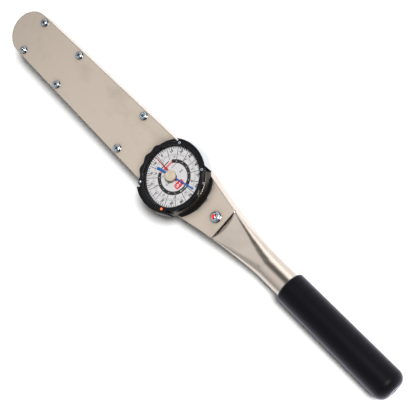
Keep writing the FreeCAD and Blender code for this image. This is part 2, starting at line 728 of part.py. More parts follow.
def pointer_pinion():
    """Twelve-tooth pinion with involute flanks; a gap faces the sector at rest."""
    pitch_r = 0.5 * MODULE * PINION_TEETH
    base_r = pitch_r * math.cos(math.radians(PRESSURE_ANGLE))
    tip_r = pitch_r + 0.8 * MODULE
    root_r = pitch_r - 0.85 * MODULE
    pitch_angle = 2.0 * math.pi / PINION_TEETH

    def involute(radius):
        slope = math.sqrt(max((radius / base_r) ** 2 - 1.0, 0.0))
        return slope - math.atan(slope)
    half_at_pitch = 0.25 * pitch_angle - GEAR_BACKLASH / pitch_r

    def half_angle(radius):
        return half_at_pitch + involute(pitch_r) - involute(max(radius, base_r))
    radii = [root_r, base_r, pitch_r, 0.5 * (pitch_r + tip_r), tip_r]
    outline = []
    for k in range(PINION_TEETH):
        middle = (k + 0.5) * pitch_angle
        for radius in radii:
            outline.append(polar(radius, math.degrees(middle - half_angle(radius))))
        for radius in reversed(radii):
            outline.append(polar(radius, math.degrees(middle + half_angle(radius))))
    gear = prism(outline, SECTOR_Z - PINION_SPARE, SECTOR_Z + SECTOR_T + PINION_SPARE)
    gear = gear.cut(rod(ARBOR_R, SECTOR_Z - 2.0, SECTOR_Z + 5.0))
    gear.translate(V(DIAL_X, 0, 0))
    return gear


# ---- measuring beam -------------------------------------------------------------
def flex_beam():
    """Spring bar from its anchor in the neck to the fork of the head."""
    tip = rod(0.5 * BEAM_T, BEAM_Z, BEAM_Z + BEAM_H, BEAM_TIP_X + 0.5 * BEAM_T, 0)
    bar = block(BEAM_TIP_X + 0.5 * BEAM_T, BEAM_PIVOT_X, -0.5 * BEAM_T, 0.5 * BEAM_T,
                BEAM_Z, BEAM_Z + BEAM_H)
    eye = rod(BEAM_EYE_R, BEAM_Z, BEAM_Z + BEAM_H, BEAM_PIVOT_X, 0)
    hole = rod(BEAM_PIN_R + ARBOR_FIT, BEAM_Z - 1.0, BEAM_Z + BEAM_H + 1.0, BEAM_PIVOT_X, 0)
    return union([tip, bar, eye]).cut(hole)


def beam_anchor_block():
    """Steel block held by the neck screw; its slotted nose takes the beam's eye."""
    nose_x = BEAM_PIVOT_X - ANCHOR_NOSE
    block_z0 = BOTTOM_Z + FLOOR_T
    body = block(nose_x, ANCHOR_END_X, -ANCHOR_HALF, ANCHOR_HALF, block_z0, TOP_Z - COVER_T)
    mouth_half = BEAM_EYE_R + BEAM_EYE_SPARE
    mouth = block(nose_x - 1.0, BEAM_PIVOT_X + mouth_half, -mouth_half, mouth_half,
                  BEAM_Z - 0.4, BEAM_Z + BEAM_H + 0.4)
    body = body.cut(mouth)
    body = body.cut(rod(BEAM_PIN_R, block_z0 - 1.0, BEAM_PIN_TOP_Z, BEAM_PIVOT_X, 0))
    body = body.cut(rod(NECK_SCREW_R, TOP_Z - NECK_SCREW_LENGTH - 1.0, TOP_Z, NECK_SCREW_X, 0))
    for side in (-1, 1):
        y = side * ANCHOR_BOLT_Y
        body = body.cut(rod(ANCHOR_BOLT_R, block_z0 - 1.0, block_z0 + ANCHOR_BOLT_BITE, ANCHOR_BOLT_X, y))
    return body


def beam_pin():
    return rod(BEAM_PIN_R, BOTTOM_Z + FLOOR_T, BEAM_PIN_TOP_Z, BEAM_PIVOT_X, 0)


def anchor_bolts():
    """Two bolts up through the housing floor into the anchor block."""
    bolts = []
    for side in (-1, 1):
        y = side * ANCHOR_BOLT_Y
        bolt = pan_screw(ANCHOR_BOLT_X, y, 0.0, ANCHOR_BOLT_HEAD_R, ANCHOR_BOLT_HEAD_H,
                         ANCHOR_BOLT_R, ANCHOR_BOLT_BITE + FLOOR_T, 20.0)
        bolt.rotate(V(ANCHOR_BOLT_X, y, 0), ALONG, 180.0)
        bolt.translate(V(0, 0, BOTTOM_Z))
        bolts.append(bolt)
    return group(bolts)


# ---- dial movement --------------------------------------------------------------
def movement_plate(z0):
    """Small plate with the arbor's bearing and three pillar holes."""
    near = [(DIAL_X + dx, -y) for dx, y in MOVEMENT_PLATE_EDGE]
    far = [(DIAL_X + dx, y) for dx, y in reversed(MOVEMENT_PLATE_EDGE)]
    plate = prism(near + far, z0, z0 + MOVEMENT_PLATE_T)
    plate = plate.cut(rod(MOVEMENT_BUSH_R, z0 - 1.0, z0 + 3.0, DIAL_X, 0))
    for dx, y in MOVEMENT_PILLARS:
        plate = plate.cut(rod(MOVEMENT_SCREW_R, z0 - 1.0, z0 + 3.0, DIAL_X + dx, y))
    return plate


def movement_lower_plate():
    return movement_plate(MOVEMENT_LOWER_Z)


def movement_upper_plate():
    return movement_plate(MOVEMENT_UPPER_Z)


def movement_pillars():
    """Long pillars between the plates, short ones up to the cover."""
    pillars = []
    upper = MOVEMENT_UPPER_Z + MOVEMENT_PLATE_T
    for dx, y in MOVEMENT_PILLARS:
        for z0, z1 in ((MOVEMENT_LOWER_Z + MOVEMENT_PLATE_T, MOVEMENT_UPPER_Z), (upper, TOP_Z - COVER_T)):
            pillars.append(ring(PILLAR_R, MOVEMENT_SCREW_R, z0, z1, DIAL_X + dx, y))
    return group(pillars)


def movement_screws():
    """Screws down through the cover and both plates."""
    screws = []
    for dx, y in MOVEMENT_PILLARS:
        screws.append(slotted_screw(DIAL_X + dx, y, TOP_Z, MOVEMENT_SCREW_HEAD_R, MOVEMENT_SCREW_HEAD_H,
                                    MOVEMENT_SCREW_R, TOP_Z - MOVEMENT_LOWER_Z))
    return group(screws)


def arbor_bushings():
    bushes = []
    for z0 in (MOVEMENT_LOWER_Z, MOVEMENT_UPPER_Z):
        bushes.append(ring(MOVEMENT_BUSH_R, ARBOR_R + ARBOR_FIT, z0, z0 + MOVEMENT_PLATE_T, DIAL_X))
    return group(bushes)


def pointer_arbor():
    """Thin spindle from the lower movement plate up to the main pointer."""
    top = TOP_Z + MAIN_POINTER_Z + MAIN_POINTER_T + 0.2
    shaft = rod(ARBOR_R, MOVEMENT_LOWER_Z - ARBOR_NIB, top, DIAL_X)
    shoulder = rod(ARBOR_SHOULDER_R, SECTOR_Z + SECTOR_T + PINION_SPARE, MOVEMENT_UPPER_Z - 0.2, DIAL_X)
    return union([shaft, shoulder])


def pointer_hub():
    z0 = TOP_Z + MAIN_POINTER_Z
    return ring(POINTER_HUB_R, ARBOR_R, z0 - POINTER_HUB_H, z0, DIAL_X)


def main_pointer():
    """Tapered hand with a wider root block and a short tail."""
    z0 = TOP_Z + MAIN_POINTER_Z
    near, far = MAIN_POINTER_WEIGHT
    wide = MAIN_POINTER_HALF
    edge = [(-MAIN_POINTER_TAIL, wide), (0.0, wide), (near, 0.75), (near, wide), (far, wide),
            (far, 0.6), (MAIN_POINTER_TIP, 0.22)]
    return dial_hand(edge, POINTER_HUB_R, z0, MAIN_POINTER_T, ARBOR_R, MAIN_POINTER_DEG)


def dial_hand(edge, hub_r, z0, thickness, bore_r, degrees):
    """Flat hand from one edge of its outline, mirrored, on a round hub."""
    outline = [(x, -y) for x, y in edge] + edge[::-1]
    hand = union([prism(outline, z0, z0 + thickness), rod(hub_r, z0, z0 + thickness)])
    hand = hand.cut(rod(bore_r, z0 - 1.0, z0 + 1.0))
    hand = turned(hand, degrees)
    hand.translate(V(DIAL_X, 0, 0))
    return hand


# ---- dial housing ---------------------------------------------------------------
def dial_ring(outer, inner, low, high):
    """Ring about the dial axis; heights are above the cover."""
    return ring(outer, inner, TOP_Z + low, TOP_Z + high, DIAL_X)


def dial_drum():
    """Tapered cup on the cover, closed by an inward lip."""
    drum = Part.makeCone(DRUM_FOOT_R, DRUM_TOP_R, DRUM_TOP, V(DIAL_X, 0, TOP_Z), UP)
    drum = round_edges(drum, DRUM_RIM_R, at_height(TOP_Z + DRUM_TOP))
    lip_z = TOP_Z + DRUM_TOP - DRUM_LIP_T
    drum = drum.cut(rod(DRUM_BORE_R, TOP_Z + DRUM_FLOOR_T, lip_z, DIAL_X))
    drum = drum.cut(rod(DRUM_FLOOR_R, TOP_Z - 1.0, TOP_Z + DRUM_FLOOR_T + 0.5, DIAL_X))
    drum = drum.cut(rod(DRUM_LIP_R, lip_z - 0.5, TOP_Z + DRUM_TOP + 1.0, DIAL_X))
    for angle in DRUM_SCREW_ANGLES:
        x, y = polar(DRUM_SCREW_PCR, angle, DIAL_X)
        drum = drum.cut(rod(DRUM_SCREW_R, TOP_Z - 1.0, TOP_Z + 3.0, x, y))
    return drum


def drum_gasket():
    """Black ring round the drum's foot, as far as the cover reaches."""
    taper = (DRUM_FOOT_R - DRUM_TOP_R) / DRUM_TOP
    collar = rod(GASKET_R, TOP_Z, TOP_Z + GASKET_T, DIAL_X)
    foot = Part.makeCone(DRUM_FOOT_R, DRUM_FOOT_R - taper * GASKET_T, GASKET_T, V(DIAL_X, 0, TOP_Z), UP)
    reach = Part.Face(channel_wire(GASKET_INSET, COVER_END_X, TOP_Z - 1.0)).extrude(V(0, 0, 5.0))
    return collar.cut(foot).common(reach)


def drum_screws():
    screws = []
    seat = TOP_Z + DRUM_FLOOR_T
    for angle in DRUM_SCREW_ANGLES:
        x, y = polar(DRUM_SCREW_PCR, angle, DIAL_X)
        screws.append(slotted_screw(x, y, seat, DRUM_SCREW_HEAD_R, DRUM_SCREW_HEAD_H,
                                    DRUM_SCREW_R, COVER_T + DRUM_FLOOR_T))
    return group(screws)


# ---- bezel ------------------------------------------------------------------------
def scalloped_face():
    """Closed wavy outline of the bezel's edge."""
    mean = 0.5 * (SCALLOP_PEAK_R + SCALLOP_VALLEY_R)
    swing = 0.5 * (SCALLOP_PEAK_R - SCALLOP_VALLEY_R)
    steps = 8 * SCALLOP_COUNT
    points = []
    for k in range(steps):
        angle = 360.0 * k / steps
        wave = math.cos(math.radians(SCALLOP_COUNT * (angle - SCALLOP_PHASE)))
        points.append(V(*polar(mean + swing * wave, angle, DIAL_X), TOP_Z + BEZEL_LOW))
    curve = Part.BSplineCurve()
    curve.interpolate(Points=points, PeriodicFlag=True)
    return Part.Face(Part.Wire([curve.toShape()]))


def skirt(side, inner, outer, high):
    """Wall over an arc of the rim, flared downwards; its end towards the grip is slanted."""
    flare = SKIRT_FLARE * (high - SKIRT_LOW) / (SKIRT_TOP - SKIRT_LOW)
    lean = SKIRT_FLARE - flare
    z0 = TOP_Z + SKIRT_LOW
    z1 = TOP_Z + high
    section = polygon_face([(inner + SKIRT_FLARE, 0, z0), (outer + SKIRT_FLARE, 0, z0),
                            (outer + lean, 0, z1), (inner + lean, 0, z1)])
    foot_deg = SKIRT_FROM - SKIRT_SLANT
    wall = section.revolve(V(0, 0, 0), UP, SKIRT_TO - foot_deg)
    wall.rotate(V(0, 0, 0), UP, foot_deg)
    wall = wall.cut(skirt_end_wedge(foot_deg, z0, TOP_Z + SKIRT_TOP))
    if side < 0:
        wall = wall.mirror(V(0, 0, 0), ACROSS)
    wall.translate(V(DIAL_X, 0, 0))
    return wall


def skirt_end_wedge(foot_deg, z0, z1):
    """What is taken off a skirt's end, from nothing at its foot."""
    middle_r = 0.5 * (SKIRT_IN_R + SKIRT_OUT_R)
    run = middle_r * math.radians(SKIRT_SLANT)
    past = 6.0
    spare = 0.01
    corners = [(-spare, z0 - spare), (run, z1 + spare), (-past, z1 + spare), (-past, z0 - spare)]
    wedge = polygon_face([(x, -past, z) for x, z in corners]).extrude(V(0, 2.0 * past, 0))
    wedge.rotate(V(0, 0, 0), UP, foot_deg + 90.0)
    wedge.translate(V(*polar(middle_r, foot_deg), 0))
    return wedge


def bezel_ring():
    """Scalloped ring with its inner tube, lens ledge and two hanging skirts."""
    top = scalloped_face().extrude(V(0, 0, BEZEL_TOP - BEZEL_LOW))
    pieces = [top, dial_ring(TUBE_OUT_R, BEZEL_BORE_R, CARRIER_TOP, BEZEL_TOP)]
    for side in (-1, 1):
        pieces.append(skirt(side, SKIRT_IN_R, SKIRT_OUT_R, SKIRT_TOP))
        ends = sorted((side * SKIRT_FROM, side * SKIRT_TO))
        shelf = sector_plate(BEZEL_BORE_R + 0.5, SKIRT_JOIN_R, *ends, TOP_Z + BEZEL_LOW, TOP_Z + BEZEL_TOP)
        shelf.translate(V(DIAL_X, 0, 0))
        pieces.append(shelf)
    body = union(pieces)
    body = body.cut(rod(BEZEL_BORE_R, TOP_Z + CARRIER_TOP - 1.0, TOP_Z + SKIRT_TOP, DIAL_X))
    ledge = dial_ring(TUBE_OUT_R, LEDGE_R, CARRIER_TOP, LENS_LOW - LENS_GASKET_T)
    body = union([body, ledge])
    for x, y in bezel_screw_places():
        seat = TOP_Z + BEZEL_TOP - BEZEL_SCREW_SINK
        body = body.cut(rod(BEZEL_SCREW_HEAD_R, seat, TOP_Z + SKIRT_TOP, x, y))
        body = body.cut(rod(BEZEL_SCREW_R, seat - BEZEL_SCREW_BITE, seat + 0.1, x, y))
    for x, y in carrier_screw_places():
        top = TOP_Z + CARRIER_TOP + CARRIER_SCREW_BITE
        body = body.cut(rod(CARRIER_SCREW_R, TOP_Z + CARRIER_TOP - 1.0, top, x, y))
    return body


def bezel_bands():
    """Bright bands let onto the outside of the skirts."""
    bands = []
    for side in (-1, 1):
        bands.append(skirt(side, SKIRT_OUT_R, SKIRT_OUT_R + BAND_T, SKIRT_TOP - BAND_DROP))
    return group(bands)


def bezel_screw_places():
    angles = (BEZEL_SCREW_ANGLE, 180.0 - BEZEL_SCREW_ANGLE, 180.0 + BEZEL_SCREW_ANGLE)
    return [polar(BEZEL_SCREW_PCR, angle + BEZEL_TURN, DIAL_X) for angle in angles + (-BEZEL_SCREW_ANGLE,)]


def carrier_screw_places():
    return [polar(CARRIER_SCREW_PCR, 45.0 + 90.0 * k, DIAL_X) for k in range(4)]


def bezel_screw(x, y):
    top = TOP_Z + BEZEL_TOP
    seat = top - BEZEL_SCREW_SINK
    head = rod(BEZEL_SCREW_HEAD_R, seat, top + BEZEL_SCREW_PROUD, x, y)
    shank = rod(BEZEL_SCREW_R, seat - BEZEL_SCREW_BITE, seat, x, y)
    socket = rod(BEZEL_SOCKET_R, top - BEZEL_SOCKET_DEPTH, top + 1.0, x, y)
    return union([head, shank]).cut(socket)


def bezel_screws():
    return group([bezel_screw(x, y) for x, y in bezel_screw_places()[:3]])


def sealed_bezel_screw():
    """The fourth screw, which is locked with varnish."""
    return bezel_screw(*bezel_screw_places()[3])


def bezel_seal():
    """Drop of varnish over the fourth screw, filling its socket."""
    x, y = bezel_screw_places()[3]
    base = TOP_Z + BEZEL_TOP + BEZEL_SCREW_PROUD
    top = base + BEZEL_SEAL_T
    plug = rod(BEZEL_SOCKET_R, TOP_Z + BEZEL_TOP - BEZEL_SOCKET_DEPTH, base, x, y)
    drop = round_edges(rod(BEZEL_SCREW_HEAD_R, base, top, x, y), 0.2, at_height(top))
    return union([plug, drop])


def dial_carrier():
    """Shallow cup under the bezel that turns with it and holds the dial."""
    floor = dial_ring(CARRIER_R, CARRIER_HOLE_R, CARRIER_LOW, DIAL_LOW)
    wall = dial_ring(CARRIER_R, DIAL_R + 0.2, CARRIER_LOW, CARRIER_TOP)
    cup = union([floor, wall])
    for x, y in carrier_screw_places():
        cup = cup.cut(rod(CARRIER_SCREW_R, TOP_Z + CARRIER_LOW - 1.0, TOP_Z + CARRIER_TOP + 1.0, x, y))
    return cup


def carrier_screws():
    """Headless screws that join the carrier to the bezel."""
    low = TOP_Z + CARRIER_LOW
    high = TOP_Z + CARRIER_TOP + CARRIER_SCREW_BITE
    return group([rod(CARRIER_SCREW_R, low, high, x, y) for x, y in carrier_screw_places()])


def dial_face():
    return dial_ring(DIAL_R, DIAL_HOLE_R, DIAL_LOW, DIAL_LOW + DIAL_T)


def lens_gasket():
    return dial_ring(BEZEL_BORE_R, LEDGE_R, LENS_LOW - LENS_GASKET_T, LENS_LOW)


def lens():
    disc = rod(BEZEL_BORE_R, TOP_Z + LENS_LOW, TOP_Z + LENS_LOW + LENS_T, DIAL_X)
    return disc.cut(rod(LENS_HOLE_R, TOP_Z, TOP_Z + 30.0, DIAL_X))


# ---- memory pointer ---------------------------------------------------------------
def memory_pointer():
    """Slim hand with a broad tail across the spindle."""
    edge = [(-MEMORY_POINTER_TAIL, MEMORY_TAIL_HALF), (0.0, MEMORY_TAIL_HALF), (5.0, MEMORY_POINTER_HALF),
            (MEMORY_POINTER_TIP - 1.0, MEMORY_POINTER_HALF), (MEMORY_POINTER_TIP, 0.3)]
    return dial_hand(edge, MEMORY_HUB_R, TOP_Z + MEMORY_POINTER_Z, MEMORY_POINTER_T,
                     MEMORY_BORE_R, MEMORY_POINTER_DEG)


def memory_stem():
    """Dark spindle through the lens that carries the memory pointer."""
    z_hand = TOP_Z + MEMORY_POINTER_Z
    flange_z = z_hand + MEMORY_POINTER_T
    washer_z = TOP_Z + LENS_LOW - WASHER_SPARE - WASHER_T
    nose = rod(MEMORY_BORE_R, z_hand, flange_z, DIAL_X)
    flange = rod(STEM_FLANGE_R, flange_z, washer_z, DIAL_X)
    shaft = rod(STEM_R, flange_z, TOP_Z + KNOB_LOW, DIAL_X)
    tip = rod(KNOB_BORE_R, TOP_Z + KNOB_LOW - 0.1, TOP_Z + KNOB_TOP - KNOB_BORE_SPARE, DIAL_X)
    return union([nose, flange, shaft, tip])


def friction_washer():
    high = LENS_LOW - WASHER_SPARE
    return dial_ring(STEM_FLANGE_R, STEM_R, high - WASHER_T, high)


def reset_knob():
    """Turned metal knob, finely knurled round its side."""
    z0 = TOP_Z + KNOB_LOW
    knob = rod(KNOB_R, z0, TOP_Z + KNOB_TOP, DIAL_X)
    knob = round_edges(knob, KNOB_EDGE_R, at_height(TOP_Z + KNOB_TOP))
    for k in range(KNOB_FLUTES):
        x, y = polar(KNOB_R + KNOB_FLUTE_OUT, 360.0 * k / KNOB_FLUTES, DIAL_X)
        knob = knob.cut(rod(KNOB_FLUTE_R, z0 - 1.0, TOP_Z + KNOB_TOP - KNOB_FLUTE_SPARE, x, y))
    return knob.cut(rod(KNOB_BORE_R, z0 - 1.0, TOP_Z + KNOB_TOP - KNOB_BORE_SPARE, DIAL_X))


# ---- one file per piece --------------------------------------------------------------
PIECES = (
    housing, cover_plate, cover_screws, neck_screw, neck_seal, grip,
    lower_head_bushing, upper_head_bushing, thrust_washer, stop_pins,
    drive_anvil, detent_ball, detent_spring,
    indicator_arm, arm_clamp_ring, arm_screws, sector_gear, sector_rivets,
    flex_beam, beam_anchor_block, beam_pin, anchor_bolts,
    movement_lower_plate, movement_upper_plate, movement_pillars, movement_screws,
    arbor_bushings, pointer_arbor, pointer_pinion, pointer_hub, main_pointer,
    dial_drum, drum_gasket, drum_screws,
    bezel_ring, bezel_bands, bezel_screws, sealed_bezel_screw, bezel_seal,
    dial_carrier, carrier_screws, dial_face, lens_gasket, lens,
    memory_pointer, memory_stem, friction_washer, reset_knob,
)

os.makedirs("parts", exist_ok=True)
for make_piece in PIECES:
    shape = make_piece()
    node = make_piece.__name__
    if not shape.isValid():
        print("not valid:", node)
    shape.exportStep(os.path.join("parts", node + ".step"))
    print(f"{node}: {shape.Volume:.1f} mm3, {len(shape.Solids)} solid(s)")
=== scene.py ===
import json
import math

import bmesh
import bpy
from mathutils import Matrix, Vector


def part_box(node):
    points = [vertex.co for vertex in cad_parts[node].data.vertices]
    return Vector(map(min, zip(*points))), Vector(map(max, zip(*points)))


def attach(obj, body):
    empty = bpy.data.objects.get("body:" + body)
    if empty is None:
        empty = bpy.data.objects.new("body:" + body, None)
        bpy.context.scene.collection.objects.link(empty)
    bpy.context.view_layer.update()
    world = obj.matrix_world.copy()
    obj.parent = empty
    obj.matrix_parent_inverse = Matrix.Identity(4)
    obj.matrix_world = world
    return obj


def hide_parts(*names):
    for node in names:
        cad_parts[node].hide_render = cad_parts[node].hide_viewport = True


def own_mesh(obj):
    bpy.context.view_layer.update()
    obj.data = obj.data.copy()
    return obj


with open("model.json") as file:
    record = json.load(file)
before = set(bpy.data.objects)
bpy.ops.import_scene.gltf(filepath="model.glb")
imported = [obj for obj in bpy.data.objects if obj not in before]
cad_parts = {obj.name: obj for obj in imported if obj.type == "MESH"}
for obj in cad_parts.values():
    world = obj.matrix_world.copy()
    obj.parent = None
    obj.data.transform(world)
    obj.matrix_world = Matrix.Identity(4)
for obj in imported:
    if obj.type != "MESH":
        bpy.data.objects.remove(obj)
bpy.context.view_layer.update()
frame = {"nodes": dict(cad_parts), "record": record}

MM = 0.001
WELD = 0.002 * MM
NODES = frame["nodes"]

# ---- places, from the frame -------------------------------------------------
COVER_TOP_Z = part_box("cover_plate")[1].z
COVER_END_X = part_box("cover_plate")[1].x
SLOT_HALF = 14.8 * MM
dial_low, dial_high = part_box("dial_face")
DIAL_CENTRE = Vector(((dial_low.x + dial_high.x) / 2, (dial_low.y + dial_high.y) / 2, 0.0))
DIAL_R = (dial_high.x - dial_low.x) / 2
DIAL_TOP_Z = dial_high.z
anvil_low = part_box("drive_anvil")[0]
SQUARE_HALF = 6.35 * MM
grip_low, grip_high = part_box("grip")
GRIP_R = (grip_high.y - grip_low.y) / 2
GRIP_AXIS_Z = (grip_high.z + grip_low.z) / 2
GRIP_TAIL_R = 9.0 * MM
GRIP_NOSE_R = 2.6 * MM
GRIP_BORE_R = 12.05 * MM
GRIP_CAP_T = grip_high.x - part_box("housing")[1].x
VENT_R = 2.2 * MM

# Bezel: radii, and heights above the cover
BEZEL_BORE_R = 28.8 * MM
LEDGE_R = 28.4 * MM
TUBE_OUT_R = 30.4 * MM
BEZEL_LOW = 7.0 * MM
BEZEL_TOP = 11.8 * MM
LEDGE_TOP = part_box("lens_gasket")[0].z - COVER_TOP_Z
CARRIER_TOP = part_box("dial_carrier")[1].z - COVER_TOP_Z
SCALLOP_MEAN_R = 32.3 * MM
SCALLOP_SWING = 0.8 * MM
SCALLOPS = 16
SCALLOP_PHASE = 186.0
SKIRT_IN_R = 33.4 * MM
SKIRT_OUT_R = 34.4 * MM
SKIRT_FLARE = 1.6 * MM
SKIRT_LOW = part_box("bezel_ring")[0].z - COVER_TOP_Z
SKIRT_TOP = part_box("bezel_ring")[1].z - COVER_TOP_Z
SKIRT_FROM = 55.0
SKIRT_TO = 122.0
SKIRT_SLANT = 6.5            # degrees by which the foot of its grip end runs ahead of its top
WING_RAMP = 1.2              # degrees over which the ring widens into a wing
WING_OUT = 0.9 * MM          # how far a wing reaches into its skirt
BEZEL_EDGE_R = 0.35 * MM
BAND_T = 0.5 * MM
BAND_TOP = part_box("bezel_bands")[1].z - COVER_TOP_Z

# Print on the dial, turned with the bezel
PRINT_TURN = -5.8
PRINT_T = 0.02 * MM
DIVISIONS = 15
TICKS_PER_DIVISION = 5
PRINT_EDGE_R = DIAL_R - 0.15 * MM
DIVISION_IN_R = 16.8 * MM
RING_IN_R = 13.3 * MM
RING_OUT_R = 16.7 * MM
RING_GAP = 30.0              # half the angle left open at the top of the ring
NUMBER_R = 24.3 * MM
NUMBER_SHIFT = 9.0           # degrees from a division's line on to its number
SMALL_TICK_OUT_R = 18.0 * MM
SMALL_NUMBER_R = 19.0 * MM
SMALL_NUMBER_SHIFT = 5.0
NM_PER_LB_FT = 1.356
NM_STEP = 20
NM_END = 200                 # the inner scale stops short of this number

# The photograph's camera, in the frame: where it stands and which way it faces, and its lens
CAMERA_PLACE = (0.57074, 0.12652, 0.69936)
CAMERA_RIGHT = Vector((0.6515, 0.6419, -0.4044))
CAMERA_DOWN = Vector((0.6481, -0.7480, -0.1432))
CAMERA_FORWARD = Vector((-0.3944, -0.1688, -0.9033))
LENS_MM = 71.95
SENSOR_MM = 36.0

# Studio light: how bright the dome is at each lean about the wrench, in degrees from overhead towards +Y
DOME_STOPS = [(-90, 0.20), (-60, 0.31), (-30, 0.475), (-5, 0.475), (2, 0.4), (9, 0.07),
              (42, 0.05), (54, 0.4), (62, 0.85), (90, 0.9)]
DOME_FULL = 2.1
DOME_DIM = 0.10
DOME_X = -0.42               # the bright part of the dome is a band about this X
DOME_BAND = (0.16, 0.42)     # full inside the first distance from DOME_X, dim beyond the second
DOME_WALLS = ((48.0, 58.0), (-42.0, -60.0))
AMBIENT_SHARE = 0.4          # of the dome's light, on matt surfaces
LAMP_LEAN = (0.36, 0.345, 0.95)
LAMP_DISTANCE = 5.0
LAMP_SIZE = 1.15
LAMP_WATTS = 540.0


# ---- camera, floor and light -------------------------------------------------
def add_camera():
    """A long lens above the grip's side, as a studio picture of the whole wrench."""
    data = bpy.data.cameras.new("camera")
    data.sensor_width = SENSOR_MM
    data.lens = LENS_MM
    camera = bpy.data.objects.new("camera", data)
    bpy.context.scene.collection.objects.link(camera)
    turn = Matrix((CAMERA_RIGHT, -CAMERA_DOWN, -CAMERA_FORWARD)).transposed().to_4x4()
    camera.matrix_world = Matrix.Translation(CAMERA_PLACE) @ turn
    bpy.context.scene.camera = camera


def add_floor():
    """The wrench stands on the end of its square and on the far end of its grip."""
    foot = Vector((SQUARE_HALF, 0.0, anvil_low.z))
    tail = Vector((grip_high.x - GRIP_TAIL_R, 0.0, grip_low.z))
    half = 4.0
    mesh = bpy.data.meshes.new("floor")
    slope = (tail.z - foot.z) / (tail.x - foot.x)
    corners = [(-half, -half), (half, -half), (half, half), (-half, half)]
    points = [(x, y, foot.z + slope * (x - foot.x)) for x, y in corners]
    mesh.from_pydata(points, [], [(0, 1, 2, 3)])
    floor = bpy.data.objects.new("floor", mesh)
    bpy.context.scene.collection.objects.link(floor)
    look = Look("floor_paper", (0.58, 0.58, 0.58), 0.85, 0.0, {"Specular IOR Level": 0.2})
    look.colour_from(look.noise(60.0), (0.575, 0.575, 0.575), (0.585, 0.585, 0.585))
    below = look.add("NewGeometry").outputs["Backfacing"]
    through = look.add("BsdfTransparent").outputs[0]
    seen = look.add("MixShader", {0: below, 1: look.shader.outputs[0], 2: through})
    look.links.new(seen.outputs[0], look.nodes["Material Output"].inputs["Surface"])
    mesh.materials.append(look.material)


def add_dome():
    """Studio light by its lean about the wrench: soft box overhead, dark flag, bright walls low down."""
    world = bpy.data.worlds.new("studio")
    bpy.context.scene.world = world
    world.use_nodes = True
    nodes, links = world.node_tree.nodes, world.node_tree.links
    background = nodes["Background"]
    where = nodes.new("ShaderNodeTexCoord").outputs["Generated"]
    split = nodes.new("ShaderNodeSeparateXYZ")
    links.new(where, split.inputs[0])
    lean = nodes.new("ShaderNodeMath")
    lean.operation = "ARCTAN2"
    links.new(split.outputs["Y"], lean.inputs[0])
    links.new(split.outputs["Z"], lean.inputs[1])
    share = nodes.new("ShaderNodeMapRange")
    share.inputs["From Min"].default_value = -math.pi / 2
    share.inputs["From Max"].default_value = math.pi / 2
    links.new(lean.outputs[0], share.inputs["Value"])
    ramp = nodes.new("ShaderNodeValToRGB")
    fill_ramp(ramp.color_ramp, [((angle + 90) / 180.0, (value,) * 3) for angle, value in DOME_STOPS])
    links.new(share.outputs[0], ramp.inputs[0])
    links.new(ramp.outputs["Color"], background.inputs["Color"])
    off_centre = nodes.new("ShaderNodeMath")
    off_centre.operation = "ADD"
    off_centre.inputs[1].default_value = -DOME_X
    links.new(split.outputs["X"], off_centre.inputs[0])
    away = nodes.new("ShaderNodeMath")
    away.operation = "ABSOLUTE"
    links.new(off_centre.outputs[0], away.inputs[0])
    fade = nodes.new("ShaderNodeMapRange")
    fade.interpolation_type = "SMOOTHSTEP"
    fade.inputs["From Min"].default_value = DOME_BAND[0]
    fade.inputs["From Max"].default_value = DOME_BAND[1]
    fade.inputs["To Min"].default_value = DOME_FULL
    fade.inputs["To Max"].default_value = DOME_DIM
    links.new(away.outputs[0], fade.inputs["Value"])
    strength = fade.outputs[0]
    for start, full in DOME_WALLS:
        wall = nodes.new("ShaderNodeMapRange")
        wall.inputs["From Min"].default_value = math.radians(start)
        wall.inputs["From Max"].default_value = math.radians(full)
        wall.inputs["To Max"].default_value = DOME_FULL
        links.new(lean.outputs[0], wall.inputs["Value"])
        larger = nodes.new("ShaderNodeMath")
        larger.operation = "MAXIMUM"
        links.new(strength, larger.inputs[0])
        links.new(wall.outputs[0], larger.inputs[1])
        strength = larger.outputs[0]
    path = nodes.new("ShaderNodeLightPath")
    ambient = nodes.new("ShaderNodeMapRange")
    ambient.inputs["To Min"].default_value = 1.0
    ambient.inputs["To Max"].default_value = AMBIENT_SHARE
    links.new(path.outputs["Is Diffuse Ray"], ambient.inputs["Value"])
    scaled = nodes.new("ShaderNodeMath")
    scaled.operation = "MULTIPLY"
    links.new(strength, scaled.inputs[0])
    links.new(ambient.outputs[0], scaled.inputs[1])
    links.new(scaled.outputs[0], background.inputs["Strength"])
    plain = nodes.new("ShaderNodeBackground")
    plain.inputs["Color"].default_value = (1, 1, 1, 1)
    choose = nodes.new("ShaderNodeMixShader")
    links.new(path.outputs["Is Camera Ray"], choose.inputs[0])
    links.new(background.outputs[0], choose.inputs[1])
    links.new(plain.outputs[0], choose.inputs[2])
    links.new(choose.outputs[0], nodes["World Output"].inputs["Surface"])


def add_lamp(name, lean, distance, size, watts):
    """Square soft lamp in the direction of lean from the middle of the wrench."""
    middle = Vector((0.24, 0.0, 0.0))
    data = bpy.data.lights.new(name, "AREA")
    data.size = size
    data.energy = watts
    lamp = bpy.data.objects.new(name, data)
    bpy.context.scene.collection.objects.link(lamp)
    way = Vector(lean).normalized()
    lamp.location = middle + distance * way
    lamp.rotation_euler = (-way).to_track_quat("-Z", "Y").to_euler()


# ---- materials -----------------------------------------------------------------
def fill_ramp(ramp, stops):
    """Colour stops as (place, (r, g, b)) pairs."""
    while len(ramp.elements) > 1:
        ramp.elements.remove(ramp.elements[-1])
    ramp.elements[0].position = stops[0][0]
    ramp.elements[0].color = (*stops[0][1], 1)
    for place, colour in stops[1:]:
        ramp.elements.new(place).color = (*colour, 1)


